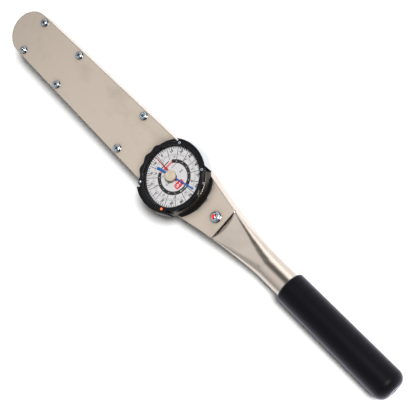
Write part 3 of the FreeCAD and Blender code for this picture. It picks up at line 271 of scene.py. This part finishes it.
class Look:
    """A material: one Principled shader and the nodes that feed it. Textures are in metres."""

    def __init__(self, name, colour, rough, metal=0.0, sockets=None):
        self.material = bpy.data.materials.new(name)
        self.material.use_nodes = True
        self.nodes = self.material.node_tree.nodes
        self.links = self.material.node_tree.links
        self.shader = self.nodes["Principled BSDF"]
        self.shader.inputs["Base Color"].default_value = (*colour, 1)
        self.shader.inputs["Roughness"].default_value = rough
        self.shader.inputs["Metallic"].default_value = metal
        for socket, value in (sockets or {}).items():
            self.shader.inputs[socket].default_value = value
        self.place = self.nodes.new("ShaderNodeTexCoord").outputs["Object"]
        self.normal = None
        self.colour = None

    def add(self, kind, inputs=None, **settings):
        node = self.nodes.new("ShaderNode" + kind)
        for key, value in settings.items():
            setattr(node, key, value)
        for key, value in (inputs or {}).items():
            if isinstance(value, bpy.types.NodeSocket):
                self.links.new(value, node.inputs[key])
            else:
                node.inputs[key].default_value = value
        return node

    def stretched(self, stretch):
        return self.add("Mapping", {"Vector": self.place, "Scale": stretch}, vector_type="POINT").outputs[0]

    def noise(self, scale, stretch=(1, 1, 1), detail=4.0, rough=0.55):
        """Cloudy pattern with features of about 1/scale metres."""
        inputs = {"Vector": self.stretched(stretch), "Scale": scale, "Detail": detail, "Roughness": rough}
        return self.add("TexNoise", inputs).outputs["Fac"]

    def cells(self, scale, stretch=(1, 1, 1)):
        inputs = {"Vector": self.stretched(stretch), "Scale": scale}
        return self.add("TexVoronoi", inputs, feature="F1").outputs["Distance"]

    def remap(self, value, low, high, to_low=0.0, to_high=1.0):
        inputs = {"Value": value, "From Min": low, "From Max": high, "To Min": to_low, "To Max": to_high}
        return self.add("MapRange", inputs).outputs[0]

    def maths(self, operation, a, b=0.0):
        return self.add("Math", {0: a, 1: b}, operation=operation).outputs[0]

    def mean(self, a, b):
        return self.maths("MULTIPLY", self.maths("ADD", a, b), 0.5)

    def edges(self, radius):
        """1 on a sharp outer or inner edge, 0 on open faces."""
        rounded = self.add("Bevel", {"Radius": radius}, samples=4).outputs[0]
        true = self.add("NewGeometry").outputs["Normal"]
        dot = self.add("VectorMath", {0: rounded, 1: true}, operation="DOT_PRODUCT").outputs["Value"]
        return self.remap(dot, 0.995, 0.85)

    def hollows(self, distance):
        """1 in recesses and corners, 0 on open faces: the mask for painted shade."""
        open_share = self.add("AmbientOcclusion", {"Distance": distance}, samples=8).outputs["AO"]
        return self.remap(open_share, 0.97, 0.50)

    def inside(self, low, high, soft):
        """1 within a box in the frame, fading to 0 over a soft distance."""
        split = self.add("SeparateXYZ", {0: self.place})
        share = None
        for axis in range(3):
            middle = 0.5 * (low[axis] + high[axis])
            half = 0.5 * (high[axis] - low[axis])
            away = self.maths("ABSOLUTE", self.maths("SUBTRACT", split.outputs[axis], middle))
            here = self.remap(away, half, half - soft)
            share = here if share is None else self.maths("MULTIPLY", share, here)
        return share

    def colour_from(self, value, low, high):
        mix = self.add("Mix", {"Factor": value}, data_type="RGBA")
        mix.inputs[6].default_value = (*low, 1)
        mix.inputs[7].default_value = (*high, 1)
        self.links.new(mix.outputs[2], self.shader.inputs["Base Color"])
        self.colour = mix.outputs[2]
        return self

    def colour_over(self, value, colour):
        """Lays one more colour over the present one where value is 1."""
        mix = self.add("Mix", {"Factor": value, 6: self.colour}, data_type="RGBA")
        mix.inputs[7].default_value = (*colour, 1)
        self.links.new(mix.outputs[2], self.shader.inputs["Base Color"])
        self.colour = mix.outputs[2]
        return self

    def rough_from(self, value, low, high):
        self.links.new(self.remap(value, 0.0, 1.0, low, high), self.shader.inputs["Roughness"])
        return self

    def bump(self, value, depth, strength=1.0):
        inputs = {"Height": value, "Distance": depth, "Strength": strength}
        if self.normal is not None:
            inputs["Normal"] = self.normal
        self.normal = self.add("Bump", inputs).outputs[0]
        self.links.new(self.normal, self.shader.inputs["Normal"])
        return self

    def soft_edges(self, radius):
        """Shades sharp edges as if they were rounded."""
        self.normal = self.add("Bevel", {"Radius": radius}, samples=4).outputs[0]
        self.links.new(self.normal, self.shader.inputs["Normal"])
        return self


ALONG_GRAIN = (0.03, 1.0, 1.0)


def nickel(name, light, dark, rough, shade, roll):
    """Satin nickel plate: fine lengthwise grain, hazy patches, faint stains, a few pits and worn edges, with
    painted shade in recesses and beside tall parts.
    """
    look = Look(name, light, rough, 1.0).soft_edges(roll)
    grain = look.noise(2600.0, ALONG_GRAIN, detail=5.0)
    haze = look.noise(22.0, (0.6, 1.0, 1.0), detail=3.0)
    look.colour_from(look.mean(grain, haze), dark, light)
    stains = look.remap(look.noise(38.0, (0.7, 1.0, 1.0), detail=6.0), 0.52, 0.72)
    look.colour_over(look.maths("MULTIPLY", stains, 0.35), tuple(0.75 * c for c in dark))
    pits = look.remap(look.cells(420.0), 0.10, 0.04)
    look.colour_over(look.maths("MULTIPLY", pits, 0.35), tuple(0.6 * c for c in dark))
    # Painted shade: darker in recesses and beside tall parts, out to the distance shade.
    look.colour_over(look.maths("MULTIPLY", look.hollows(shade), 0.9), tuple(0.08 * c for c in dark))
    worn = tuple(min(1.0, 1.1 * c) for c in light)
    look.colour_over(look.maths("MULTIPLY", look.edges(0.2 * MM), 0.25), worn)
    look.rough_from(look.mean(grain, haze), rough - 0.07, rough + 0.09)
    return look.bump(grain, 0.00002)


def plain_metal(name, colour, rough, grain_scale=1500.0, recess_shade=0.0):
    """Machined or plated metal with slight mottling; it can also get painted shade in its recesses."""
    look = Look(name, colour, rough, 1.0).soft_edges(0.12 * MM)
    mottle = look.noise(grain_scale, detail=3.0)
    look.colour_from(mottle, tuple(0.82 * c for c in colour), colour)
    if recess_shade:
        # Painted shade in recesses.
        dark = tuple(0.06 * c for c in colour)
        look.colour_over(look.maths("MULTIPLY", look.hollows(2.6 * MM), recess_shade), dark)
    look.rough_from(mottle, rough * 0.7, rough * 1.4)
    return look.bump(look.noise(grain_scale * 2.0), 0.00001)


def black_plastic(name, rough, specular):
    """Moulded black plastic, satin, with a fine texture and paler rubbed edges."""
    look = Look(name, (0.004, 0.004, 0.005), rough, 0.0, {"Specular IOR Level": specular})
    fine = look.noise(1800.0, detail=2.0)
    look.colour_from(look.noise(120.0), (0.003, 0.003, 0.004), (0.007, 0.007, 0.008))
    look.colour_over(look.maths("MULTIPLY", look.edges(0.3 * MM), 0.3), (0.03, 0.03, 0.033))
    look.rough_from(fine, rough - 0.08, rough + 0.12)
    return look.bump(fine, 0.00003)


def rubber(name, colour, rough, specular, sheen):
    """Satin rubber with a fine grain and a faint bloom at low angles."""
    sockets = {"Specular IOR Level": specular, "Sheen Weight": sheen, "Sheen Roughness": 0.45}
    look = Look(name, colour, rough, 0.0, sockets)
    look.shader.inputs["Sheen Tint"].default_value = (0.85, 0.82, 1.0, 1)
    fine = look.noise(1500.0, detail=3.0)
    look.colour_from(look.noise(90.0), tuple(0.7 * c for c in colour), tuple(1.3 * c for c in colour))
    dust = look.remap(look.noise(300.0, detail=6.0), 0.62, 0.75)
    look.colour_over(look.maths("MULTIPLY", dust, 0.15), tuple(3.0 * c for c in colour))
    look.rough_from(fine, rough - 0.06, rough + 0.08)
    return look.bump(fine, 0.00004)


def paint(name, colour, rough=0.35, specular=0.5):
    look = Look(name, colour, rough, 0.0, {"Specular IOR Level": specular})
    look.colour_from(look.noise(900.0), tuple(0.88 * c for c in colour), colour)
    look.rough_from(look.noise(1400.0), rough - 0.06, rough + 0.1)
    return look.bump(look.noise(2500.0), 0.00001)


def knob_metal():
    """Matt warm anodised alloy with rings of turning marks, and painted shade in their grooves and corners.
    """
    look = Look("knob_metal", (0.42, 0.36, 0.28), 0.55, 0.35)
    mottle = look.noise(1200.0, detail=3.0)
    look.colour_from(mottle, (0.34, 0.285, 0.215), (0.43, 0.37, 0.285))
    # Painted shade in the grooves and corners.
    look.colour_over(look.maths("MULTIPLY", look.hollows(0.8 * MM), 0.6), (0.10, 0.075, 0.05))
    look.rough_from(mottle, 0.45, 0.65)
    return look.bump(look.noise(2600.0), 0.00001)


def band_chrome():
    """Bright plated bands, a little cooler and hazier in patches."""
    look = Look("band_chrome", (0.70, 0.72, 0.74), 0.08, 1.0)
    haze = look.noise(300.0, (1.0, 1.0, 0.3), detail=3.0)
    look.colour_from(haze, (0.58, 0.60, 0.64), (0.74, 0.76, 0.78))
    look.rough_from(haze, 0.05, 0.14)
    return look.bump(haze, 0.00001)


def varnish(name, colour):
    look = Look(name, colour, 0.18, 0.0, {"Coat Weight": 0.6, "Coat Roughness": 0.08})
    look.colour_from(look.noise(700.0), tuple(0.6 * c for c in colour), colour)
    return look.bump(look.noise(900.0), 0.0001)


def clear_lens():
    """Thin clear lens: what lies behind shows through it, with a faint gloss that grows at a low angle."""
    look = Look("clear_lens", (0.95, 0.97, 0.98), 0.05)
    look.nodes.remove(look.shader)
    clear = look.add("BsdfTransparent", {"Color": (0.98, 0.98, 0.98, 1)})
    smudge = look.remap(look.noise(60.0, detail=3.0), 0.3, 0.8, 0.02, 0.09)
    gloss = look.add("BsdfGlossy", {"Color": (1, 1, 1, 1), "Roughness": smudge})
    outside = look.maths("SUBTRACT", 1.0, look.add("NewGeometry").outputs["Backfacing"])
    facing = look.maths("MULTIPLY", look.add("Fresnel", {"IOR": 1.14}).outputs[0], outside)
    mix = look.add("MixShader", {0: facing, 1: clear.outputs[0], 2: gloss.outputs[0]})
    look.links.new(mix.outputs[0], look.nodes["Material Output"].inputs["Surface"])
    return look


def housing_nickel():
    """Satin nickel, darker with paler specks at the bottom of the gap behind the cover."""
    look = nickel("satin_nickel", (0.68, 0.60, 0.53), (0.55, 0.48, 0.42), 0.17, 0.8 * MM, 2.2 * MM)
    low = (COVER_END_X - 1.0 * MM, -SLOT_HALF, COVER_TOP_Z - 4.0 * MM)
    high = (COVER_END_X + 4.0 * MM, SLOT_HALF, COVER_TOP_Z - 0.3 * MM)
    specks = look.remap(look.noise(900.0, (1.0, 0.4, 1.0), detail=5.0), 0.60, 0.45)
    # Darker patch with paler specks at the bottom of the gap behind the cover.
    slot_dark_patch = look.maths("MULTIPLY", look.inside(low, high, 0.3 * MM), look.remap(specks, 0.0, 1.0, 0.25, 0.95))
    return look.colour_over(slot_dark_patch, (0.24, 0.20, 0.155))


LOOKS = {
    "satin_nickel": housing_nickel(),
    # The cover's painted shade reaches far, so it paints a dark band on the cover round the dial.
    "cover_nickel": nickel("cover_nickel", (0.69, 0.60, 0.51), (0.57, 0.49, 0.41), 0.20, 13.0 * MM, 1.3 * MM),
    # The zinc screws get full painted shade in their recesses.
    "zinc_screw": plain_metal("zinc_screw", (0.46, 0.54, 0.62), 0.2, recess_shade=1.0),
    "tamper_red": varnish("tamper_red", (0.75, 0.03, 0.02)),
    "seal_orange": varnish("seal_orange", (0.95, 0.16, 0.03)),
    "grip_rubber": rubber("grip_rubber", (0.0017, 0.0015, 0.0024), 0.42, 0.035, 0.26),
    "bronze": plain_metal("bronze", (0.60, 0.38, 0.16), 0.35),
    "tool_steel": plain_metal("tool_steel", (0.42, 0.42, 0.43), 0.3),
    "chrome": plain_metal("chrome", (0.80, 0.80, 0.81), 0.12, 700.0),
    "anvil_chrome": plain_metal("anvil_chrome", (0.66, 0.66, 0.68), 0.22, 900.0),
    "spring_steel": plain_metal("spring_steel", (0.30, 0.31, 0.36), 0.3),
    "arm_alloy": nickel("arm_alloy", (0.76, 0.77, 0.79), (0.66, 0.67, 0.69), 0.34, 1.5 * MM, 0.25 * MM),
    "movement_brass": plain_metal("movement_brass", (0.76, 0.58, 0.25), 0.22),
    "black_gasket": rubber("black_gasket", (0.003, 0.003, 0.003), 0.6, 0.06, 0.0),
    "black_bezel": black_plastic("black_bezel", 0.34, 0.10),
    "carrier_black": black_plastic("carrier_black", 0.5, 0.2),
    "dial_white": paint("dial_white", (0.40, 0.39, 0.395), 0.5, 0.2),
    "clear_lens": clear_lens(),
    "pointer_red": paint("pointer_red", (0.26, 0.008, 0.012)),
    "pointer_blue": paint("pointer_blue", (0.003, 0.075, 0.27), 0.45, 0.3),
    "stem_dark": paint("stem_dark", (0.010, 0.010, 0.012), 0.3, 0.2),
    "knob_metal": knob_metal(),
}
BAND_CHROME = band_chrome()
# The dial drum takes a darkened copy of the chrome: painted shade in its base colour, standing for the
# shadowed plate it reflects.
DRUM_SHADED_CHROME = plain_metal("drum_chrome_shaded", (0.085, 0.078, 0.07), 0.28, 700.0)
OWN_LOOKS = {"dial_drum": DRUM_SHADED_CHROME, "bezel_bands": BAND_CHROME}
PRINT_BLACK = paint("print_black", (0.008, 0.008, 0.01), 0.6, 0.2)
PRINT_GREY = paint("print_grey", (0.014, 0.014, 0.016), 0.6, 0.2)
PRINT_WHITE = paint("print_white", (0.50, 0.50, 0.50), 0.6, 0.2)
PRINT_RED = paint("print_red", (0.42, 0.02, 0.03), 0.6, 0.2)
PRINT_PINK = paint("print_pink", (0.42, 0.16, 0.18), 0.6, 0.2)


def dress_nodes():
    """Every CAD node gets its own look where it has one, or else the look of its slot."""
    slot_of = {part["node"]: part["material_slot"] for part in frame["record"]["subparts"]}
    for name, node in NODES.items():
        node.data.materials.clear()
        look = OWN_LOOKS.get(name) or LOOKS[slot_of[name]]
        node.data.materials.append(look.material)


# ---- mesh building ---------------------------------------------------------------
def polar(radius, degrees):
    return radius * math.cos(math.radians(degrees)), radius * math.sin(math.radians(degrees))


def add_piece(name, points, faces, look, body, flat_below=40.0):
    """A mesh piece that rides on a body and takes the given look."""
    mesh = bpy.data.meshes.new(name)
    mesh.from_pydata(points, [], faces)
    joined = bmesh.new()
    joined.from_mesh(mesh)
    bmesh.ops.remove_doubles(joined, verts=joined.verts, dist=WELD)
    bmesh.ops.recalc_face_normals(joined, faces=joined.faces)
    joined.to_mesh(mesh)
    joined.free()
    mesh.validate()
    mesh.materials.append(look.material)
    mesh.shade_smooth()
    mesh.set_sharp_from_angle(angle=math.radians(flat_below))
    thing = bpy.data.objects.new(name, mesh)
    bpy.context.scene.collection.objects.link(thing)
    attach(thing, body)
    return thing


def tube_faces(rows, columns):
    """Quads of a torus-like grid: each row is a closed outline, the rows close up too."""
    faces = []
    for i in range(rows):
        for j in range(columns):
            k = (i + 1) % rows
            m = (j + 1) % columns
            faces.append((i * columns + j, k * columns + j, k * columns + m, i * columns + m))
    return faces


def strip_faces(rows, columns):
    """As tube_faces, but open between the last row and the first, with both ends capped."""
    faces = [f for f in tube_faces(rows, columns) if f[0] // columns != rows - 1]
    faces.append(tuple(range(columns)))
    faces.append(tuple(reversed([(rows - 1) * columns + j for j in range(columns)])))
    return faces


def rounded(corners, radius, steps=3):
    """Closed outline with each corner replaced by a small arc of the given size."""
    outline = []
    count = len(corners)
    for k, corner in enumerate(corners):
        here = Vector(corner)
        before = Vector(corners[k - 1]) - here
        after = Vector(corners[(k + 1) % count]) - here
        cut = min(radius, 0.45 * before.length, 0.45 * after.length)
        start = here + cut * before.normalized()
        end = here + cut * after.normalized()
        for s in range(steps + 1):
            t = s / steps
            outline.append((1 - t) ** 2 * start + 2 * t * (1 - t) * here + t ** 2 * end)
    return outline


# ---- grip ----------------------------------------------------------------------------
def build_grip():
    """Moulded sleeve with fine ribs round it, rounded ends and a vent hole in its tail."""
    rib_pitch = 1.5 * MM
    rib_depth = 0.06 * MM
    sides = 96
    profile = []
    for k in range(9):
        turn = math.radians(90.0 * k / 8)
        profile.append((grip_low.x + GRIP_NOSE_R * (1 - math.sin(turn)),
                        GRIP_R - GRIP_NOSE_R * (1 - math.cos(turn))))
    profile.reverse()
    start, end = grip_low.x + GRIP_NOSE_R, grip_high.x - GRIP_TAIL_R
    steps = 4 * int((end - start) / rib_pitch)
    for k in range(1, steps):
        dip = 0.5 * rib_depth * (1 - math.cos(math.pi * k / 2))
        profile.append((start + (end - start) * k / steps, GRIP_R - dip))
    for k in range(17):
        turn = math.radians(90.0 * k / 16)
        profile.append((end + GRIP_TAIL_R * math.sin(turn), GRIP_R - GRIP_TAIL_R * (1 - math.cos(turn))))
    lip = 0.4 * MM
    inner_end = grip_high.x - GRIP_CAP_T
    profile += [(grip_high.x, VENT_R + lip), (grip_high.x - 0.3 * lip, VENT_R + 0.3 * lip),
                (grip_high.x - lip, VENT_R), (inner_end, VENT_R), (inner_end, GRIP_BORE_R),
                (grip_low.x, GRIP_BORE_R)]
    points = []
    for x, radius in profile:
        for s in range(sides):
            y, z = polar(radius, 360.0 * s / sides)
            points.append((x, y, GRIP_AXIS_Z + z))
    grip = add_piece("grip_sleeve", points, tube_faces(len(profile), sides), LOOKS["grip_rubber"],
                     "housing_body")
    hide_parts("grip")


# ---- bezel ---------------------------------------------------------------------------
def wing_share(degrees):
    """1 where a wing widens the ring, 0 where it is scalloped."""
    folded = abs((degrees + 180.0) % 360.0 - 180.0)
    rise = (folded - SKIRT_FROM) / WING_RAMP
    fall = (SKIRT_TO - folded) / WING_RAMP
    return max(0.0, min(1.0, rise, fall))


def rim_radius(degrees):
    wave = math.cos(math.radians(SCALLOPS * (degrees - SCALLOP_PHASE)))
    scalloped = SCALLOP_MEAN_R + SCALLOP_SWING * wave
    share = wing_share(degrees)
    return (1 - share) * scalloped + share * (SKIRT_IN_R + WING_OUT)


def bezel_outline(rim):
    """Section of the ring at one azimuth: rim, top face, bore, lens ledge and inner tube."""
    corners = [(rim, BEZEL_LOW), (rim, BEZEL_TOP), (BEZEL_BORE_R, BEZEL_TOP),
               (BEZEL_BORE_R, LEDGE_TOP), (LEDGE_R, LEDGE_TOP), (LEDGE_R, CARRIER_TOP),
               (TUBE_OUT_R, CARRIER_TOP), (TUBE_OUT_R, BEZEL_LOW)]
    return rounded(corners, BEZEL_EDGE_R)


def build_bezel_ring():
    steps = 720
    points = []
    for k in range(steps):
        degrees = 360.0 * k / steps
        for radius, height in bezel_outline(rim_radius(degrees)):
            x, y = polar(radius, degrees)
            points.append((DIAL_CENTRE.x + x, y, COVER_TOP_Z + height))
    ring = add_piece("bezel_rim", points, tube_faces(steps, len(bezel_outline(SCALLOP_MEAN_R))),
                     LOOKS["black_bezel"], "bezel")
    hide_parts("bezel_ring")


def build_skirt(name, side, inner, outer, high, look, edge):
    """Flared wall over an arc of the rim; its end towards the grip leans."""
    steps = 60

    def flare(height):
        return SKIRT_FLARE * (SKIRT_TOP - height) / (SKIRT_TOP - SKIRT_LOW)
    corners = [(inner + flare(SKIRT_LOW), SKIRT_LOW), (outer + flare(SKIRT_LOW), SKIRT_LOW),
               (outer + flare(high), high), (inner + flare(high), high)]
    outline = rounded(corners, edge)
    points = []
    for k in range(steps + 1):
        for radius, height in outline:
            lean = SKIRT_SLANT * (SKIRT_TOP - height) / (SKIRT_TOP - SKIRT_LOW)
            first = SKIRT_FROM - lean
            degrees = first + (SKIRT_TO - first) * k / steps
            x, y = polar(radius, side * degrees)
            points.append((DIAL_CENTRE.x + x, y, COVER_TOP_Z + height))
    return add_piece(name, points, strip_faces(steps + 1, len(outline)), look, "bezel")


def build_skirts():
    """The band on the +Y side is bright; the photograph shows the other one black."""
    for side, word, look, slot in ((1, "left", BAND_CHROME, "chrome"),
                                   (-1, "right", LOOKS["black_bezel"], "black_bezel")):
        skirt = build_skirt("bezel_skirt_" + word, side, SKIRT_IN_R, SKIRT_OUT_R, SKIRT_TOP,
                            LOOKS["black_bezel"], 0.3 * MM)
        band = build_skirt("bezel_band_" + word, side, SKIRT_OUT_R - 0.05 * MM, SKIRT_OUT_R + BAND_T,
                           BAND_TOP, look, 0.15 * MM)
        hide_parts("bezel_ring")
        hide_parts("bezel_bands")


# ---- dial print -----------------------------------------------------------------------
class Print:
    """Thin printed shapes that lie on the dial, in the print's own plane: x towards the grip."""

    def __init__(self, level=0):
        self.low = DIAL_TOP_Z + level * PRINT_T
        self.points = []
        self.faces = []

    def place(self, x, y, z):
        turn = math.radians(PRINT_TURN)
        return (DIAL_CENTRE.x + x * math.cos(turn) - y * math.sin(turn),
                x * math.sin(turn) + y * math.cos(turn), z)

    def slab(self, outline):
        """Closed thin solid over a convex outline."""
        first = len(self.points)
        count = len(outline)
        for z in (self.low - 0.5 * PRINT_T, self.low + PRINT_T):
            self.points += [self.place(x, y, z) for x, y in outline]
        self.faces.append(tuple(first + k for k in reversed(range(count))))
        self.faces.append(tuple(first + count + k for k in range(count)))
        for k in range(count):
            m = (k + 1) % count
            self.faces.append((first + k, first + m, first + count + m, first + count + k))

    def bar(self, centre, length, width, degrees):
        """Straight mark, its length turned by degrees from the x axis."""
        along = Vector(polar(0.5 * length, degrees))
        across = Vector(polar(0.5 * width, degrees + 90.0))
        middle = Vector(centre)
        self.slab([middle - along - across, middle + along - across,
                   middle + along + across, middle - along + across])

    def ray(self, inner, outer, width, degrees):
        self.bar(polar(0.5 * (inner + outer), degrees), outer - inner, width, degrees)

    def arc(self, inner, outer, first, last, steps):
        """Ring or part of a ring, as one closed strip of rectangular section."""
        start = len(self.points)
        low, high = self.low - 0.5 * PRINT_T, self.low + PRINT_T
        whole = abs(last - first) >= 360.0
        rows = steps if whole else steps + 1
        for k in range(rows):
            degrees = first + (last - first) * k / steps
            for radius, z in ((inner, low), (outer, low), (outer, high), (inner, high)):
                self.points.append(self.place(*polar(radius, degrees), z))
        faces = tube_faces(rows, 4) if whole else strip_faces(rows, 4)
        self.faces += [tuple(start + v for v in face) for face in faces]

    def words(self, text, height, centre):
        """Upright lettering; the top of the print is towards the head."""
        curve = bpy.data.curves.new("words", "FONT")
        curve.body = text
        curve.size = height
        curve.align_x = "CENTER"
        curve.align_y = "CENTER"
        curve.extrude = 0.75 * PRINT_T
        curve.offset = 0.035 * height
        curve.resolution_u = 2
        holder = bpy.data.objects.new("words", curve)
        bpy.context.scene.collection.objects.link(holder)
        bpy.context.view_layer.update()
        mesh = bpy.data.meshes.new_from_object(holder)
        first = len(self.points)
        for vertex in mesh.vertices:
            x, y, z = vertex.co
            self.points.append(self.place(centre[0] - y, centre[1] + x, self.low + 0.25 * PRINT_T + z))
        self.faces += [tuple(first + v for v in face.vertices) for face in mesh.polygons]
        bpy.data.objects.remove(holder)
        bpy.data.meshes.remove(mesh)
        bpy.data.curves.remove(curve)

    def finish(self, name, look):
        add_piece(name, self.points, self.faces, look, "bezel", 30.0)


def division_angle(k):
    """Zero is at the top, towards the head, and the scale runs clockwise."""
    return 180.0 - 360.0 * k / DIVISIONS


def print_scales():
    scale = Print()
    small = 360.0 / (DIVISIONS * TICKS_PER_DIVISION)
    for k in range(DIVISIONS):
        scale.ray(DIVISION_IN_R, PRINT_EDGE_R, 0.5 * MM, division_angle(k))
        for tick in range(1, TICKS_PER_DIVISION):
            angle = division_angle(k) - small * tick
            scale.ray(PRINT_EDGE_R - 1.9 * MM, PRINT_EDGE_R, 0.65 * MM, angle)
            scale.ray(19.8 * MM, 21.4 * MM, 0.25 * MM, angle)
        size = 3.7 * MM if k < 10 else 3.1 * MM
        scale.words(str(10 * k), size, polar(NUMBER_R, division_angle(k) - NUMBER_SHIFT))
    scale.finish("dial_print_scale", PRINT_BLACK)


def print_second_scale():
    """Smaller inner scale in newton metres, against the outer one in pound-force feet."""
    inner = Print()
    per_unit = 360.0 / (10.0 * DIVISIONS * NM_PER_LB_FT)
    for value in range(0, NM_END, NM_STEP):
        angle = 180.0 - per_unit * value
        inner.ray(DIVISION_IN_R, SMALL_TICK_OUT_R, 0.22 * MM, angle)
        inner.words(str(value), 1.9 * MM, polar(SMALL_NUMBER_R, angle - SMALL_NUMBER_SHIFT))
    inner.arc(21.5 * MM, 21.65 * MM, 0.0, 360.0, 120)
    inner.words("lb ft", 2.3 * MM, (0.5 * MM, 8.6 * MM))
    inner.words("N m", 2.3 * MM, (0.5 * MM, -8.8 * MM))
    inner.finish("dial_print_small", PRINT_GREY)


def print_ring():
    """Dark ring, open at the top, with small white marks on it."""
    ring = Print()
    ring.arc(RING_IN_R, RING_OUT_R, RING_GAP - 180.0, 180.0 - RING_GAP, 100)
    ring.finish("dial_print_ring", PRINT_GREY)
    marks = Print(1)
    middle = 0.5 * (RING_IN_R + RING_OUT_R)
    for k in range(2, DIVISIONS - 1):
        marks.ray(middle - 0.5 * MM, middle + 0.5 * MM, 0.35 * MM, division_angle(k))
    for side in (-1, 1):
        for step in range(4):
            marks.ray(middle - 0.45 * MM, middle + 0.45 * MM, 0.3 * MM, side * (3.0 + 3.5 * step))
    marks.finish("dial_print_marks", PRINT_WHITE)


def print_legend():
    """Bar across the top of the ring: a black line and a hatched pink strip."""
    lines = Print()
    lines.bar((-15.2 * MM, 0.0), 11.0 * MM, 0.9 * MM, 90.0)
    lines.bar((-8.4 * MM, 6.5 * MM), 7.0 * MM, 0.45 * MM, 90.0)
    lines.bar((-8.4 * MM, -6.5 * MM), 7.0 * MM, 0.45 * MM, 90.0)
    lines.finish("dial_print_lines", PRINT_BLACK)
    strip = Print()
    strip.bar((-12.5 * MM, 0.0), 15.6 * MM, 2.2 * MM, 90.0)
    strip.finish("dial_print_strip", PRINT_PINK)
    hatch = Print(1)
    for k in range(13):
        hatch.bar((-12.5 * MM, (k - 6) * 1.2 * MM), 2.0 * MM, 0.35 * MM, 25.0)
    hatch.finish("dial_print_hatch", PRINT_RED)


def print_badge():
    """Red lozenge under the knob with the unit in white."""
    badge = Print()
    outline = []
    for k in range(48):
        across, down = polar(1.0, 360.0 * k / 48)
        reach = (abs(across) ** 4 + abs(down) ** 4) ** -0.25
        outline.append((8.6 * MM + 2.9 * MM * reach * down, -0.5 * MM - 5.0 * MM * reach * across))
    badge.slab(outline)
    badge.finish("dial_print_badge", PRINT_RED)
    unit = Print(1)
    unit.words("LB FT", 3.0 * MM, (8.7 * MM, -0.5 * MM))
    unit.finish("dial_print_unit", PRINT_WHITE)


# ---- knob and varnish --------------------------------------------------------------
def build_knob():
    """Turned knob: knurled side, chamfered rim and fine rings on its top."""
    low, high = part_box("reset_knob")
    radius = (high.x - low.x) / 2
    bore = 1.2 * MM
    bore_top = high.z - 1.0 * MM
    flutes = 36
    sides = 8 * flutes
    rings = [(4.6, 0.0), (4.45, 0.12), (4.3, 0.0), (3.3, 0.0), (3.15, 0.12), (3.0, 0.0),
             (2.0, 0.0), (1.85, 0.12), (1.7, 0.0), (0.6, 0.0), (0.45, 0.15), (0.05, 0.15)]
    profile = [(bore, low.z, 0), (radius - 0.3 * MM, low.z, 0), (radius, low.z + 0.3 * MM, 1),
               (radius, high.z - 0.75 * MM, 1), (radius - 0.1 * MM, high.z - 0.55 * MM, 0),
               (radius - 0.1 * MM, high.z - 0.3 * MM, 0), (radius - 0.4 * MM, high.z, 0)]
    profile += [(r * MM, high.z - depth * MM, 0) for r, depth in rings]
    under = [(0.05 * MM, bore_top, 0), (bore, bore_top, 0)]
    points = []
    for r, z, knurled in profile + under:
        for s in range(sides):
            wave = 0.5 * (1 + math.cos(2 * math.pi * flutes * s / sides))
            x, y = polar(r - knurled * 0.3 * MM * wave, 360.0 * s / sides)
            points.append((DIAL_CENTRE.x + x, y, z))
    knob = add_piece("knurled_knob", points, tube_faces(len(profile + under), sides), LOOKS["knob_metal"],
                     "memory", 35.0)
    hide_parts("reset_knob")


def build_varnish():
    """Uneven drop of varnish over part of the neck screw's recess."""
    low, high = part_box("neck_seal")
    middle = 0.5 * (low + high)
    mean_r = 0.5 * (high.x - low.x)
    sides = 48
    rings = 10
    rows = []
    for k in range(1, rings + 1):
        share = k / rings
        rows.append((share, high.z - 0.05 * MM - 0.55 * MM * share ** 2.5))
    rows.append((0.96, low.z + 0.3 * MM))
    rows.append((0.1, low.z + 0.3 * MM))
    points = []
    for share, z in rows:
        for s in range(sides):
            turn = 2 * math.pi * s / sides
            uneven = 0.92 + 0.10 * math.sin(3 * turn + 0.7) + 0.07 * math.sin(5 * turn + 2.0)
            x, y = polar(share * mean_r * uneven, 360.0 * s / sides)
            points.append((middle.x + x, middle.y + y, z))
    drop = add_piece("varnish_drop", points, tube_faces(len(rows), sides), LOOKS["tamper_red"],
                     "housing_body")
    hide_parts("neck_seal")


# ---- detent spring -----------------------------------------------------------------
def build_detent_spring():
    """The spring's own shape again, as a piece of its own that rides on the drive head."""
    node = NODES["detent_spring"]
    spring = bpy.data.objects.new("detent_coil", node.data.copy())
    spring.matrix_world = node.matrix_world
    bpy.context.scene.collection.objects.link(spring)
    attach(spring, "drive_head")
    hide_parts("detent_spring")
    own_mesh(spring)


add_camera()
add_floor()
add_dome()
add_lamp("key", LAMP_LEAN, LAMP_DISTANCE, LAMP_SIZE, LAMP_WATTS)
bpy.context.scene.view_settings.view_transform = "Standard"
dress_nodes()
build_grip()
build_bezel_ring()
build_skirts()
print_scales()
print_second_scale()
print_ring()
print_legend()
print_badge()
build_knob()
build_varnish()
build_detent_spring()
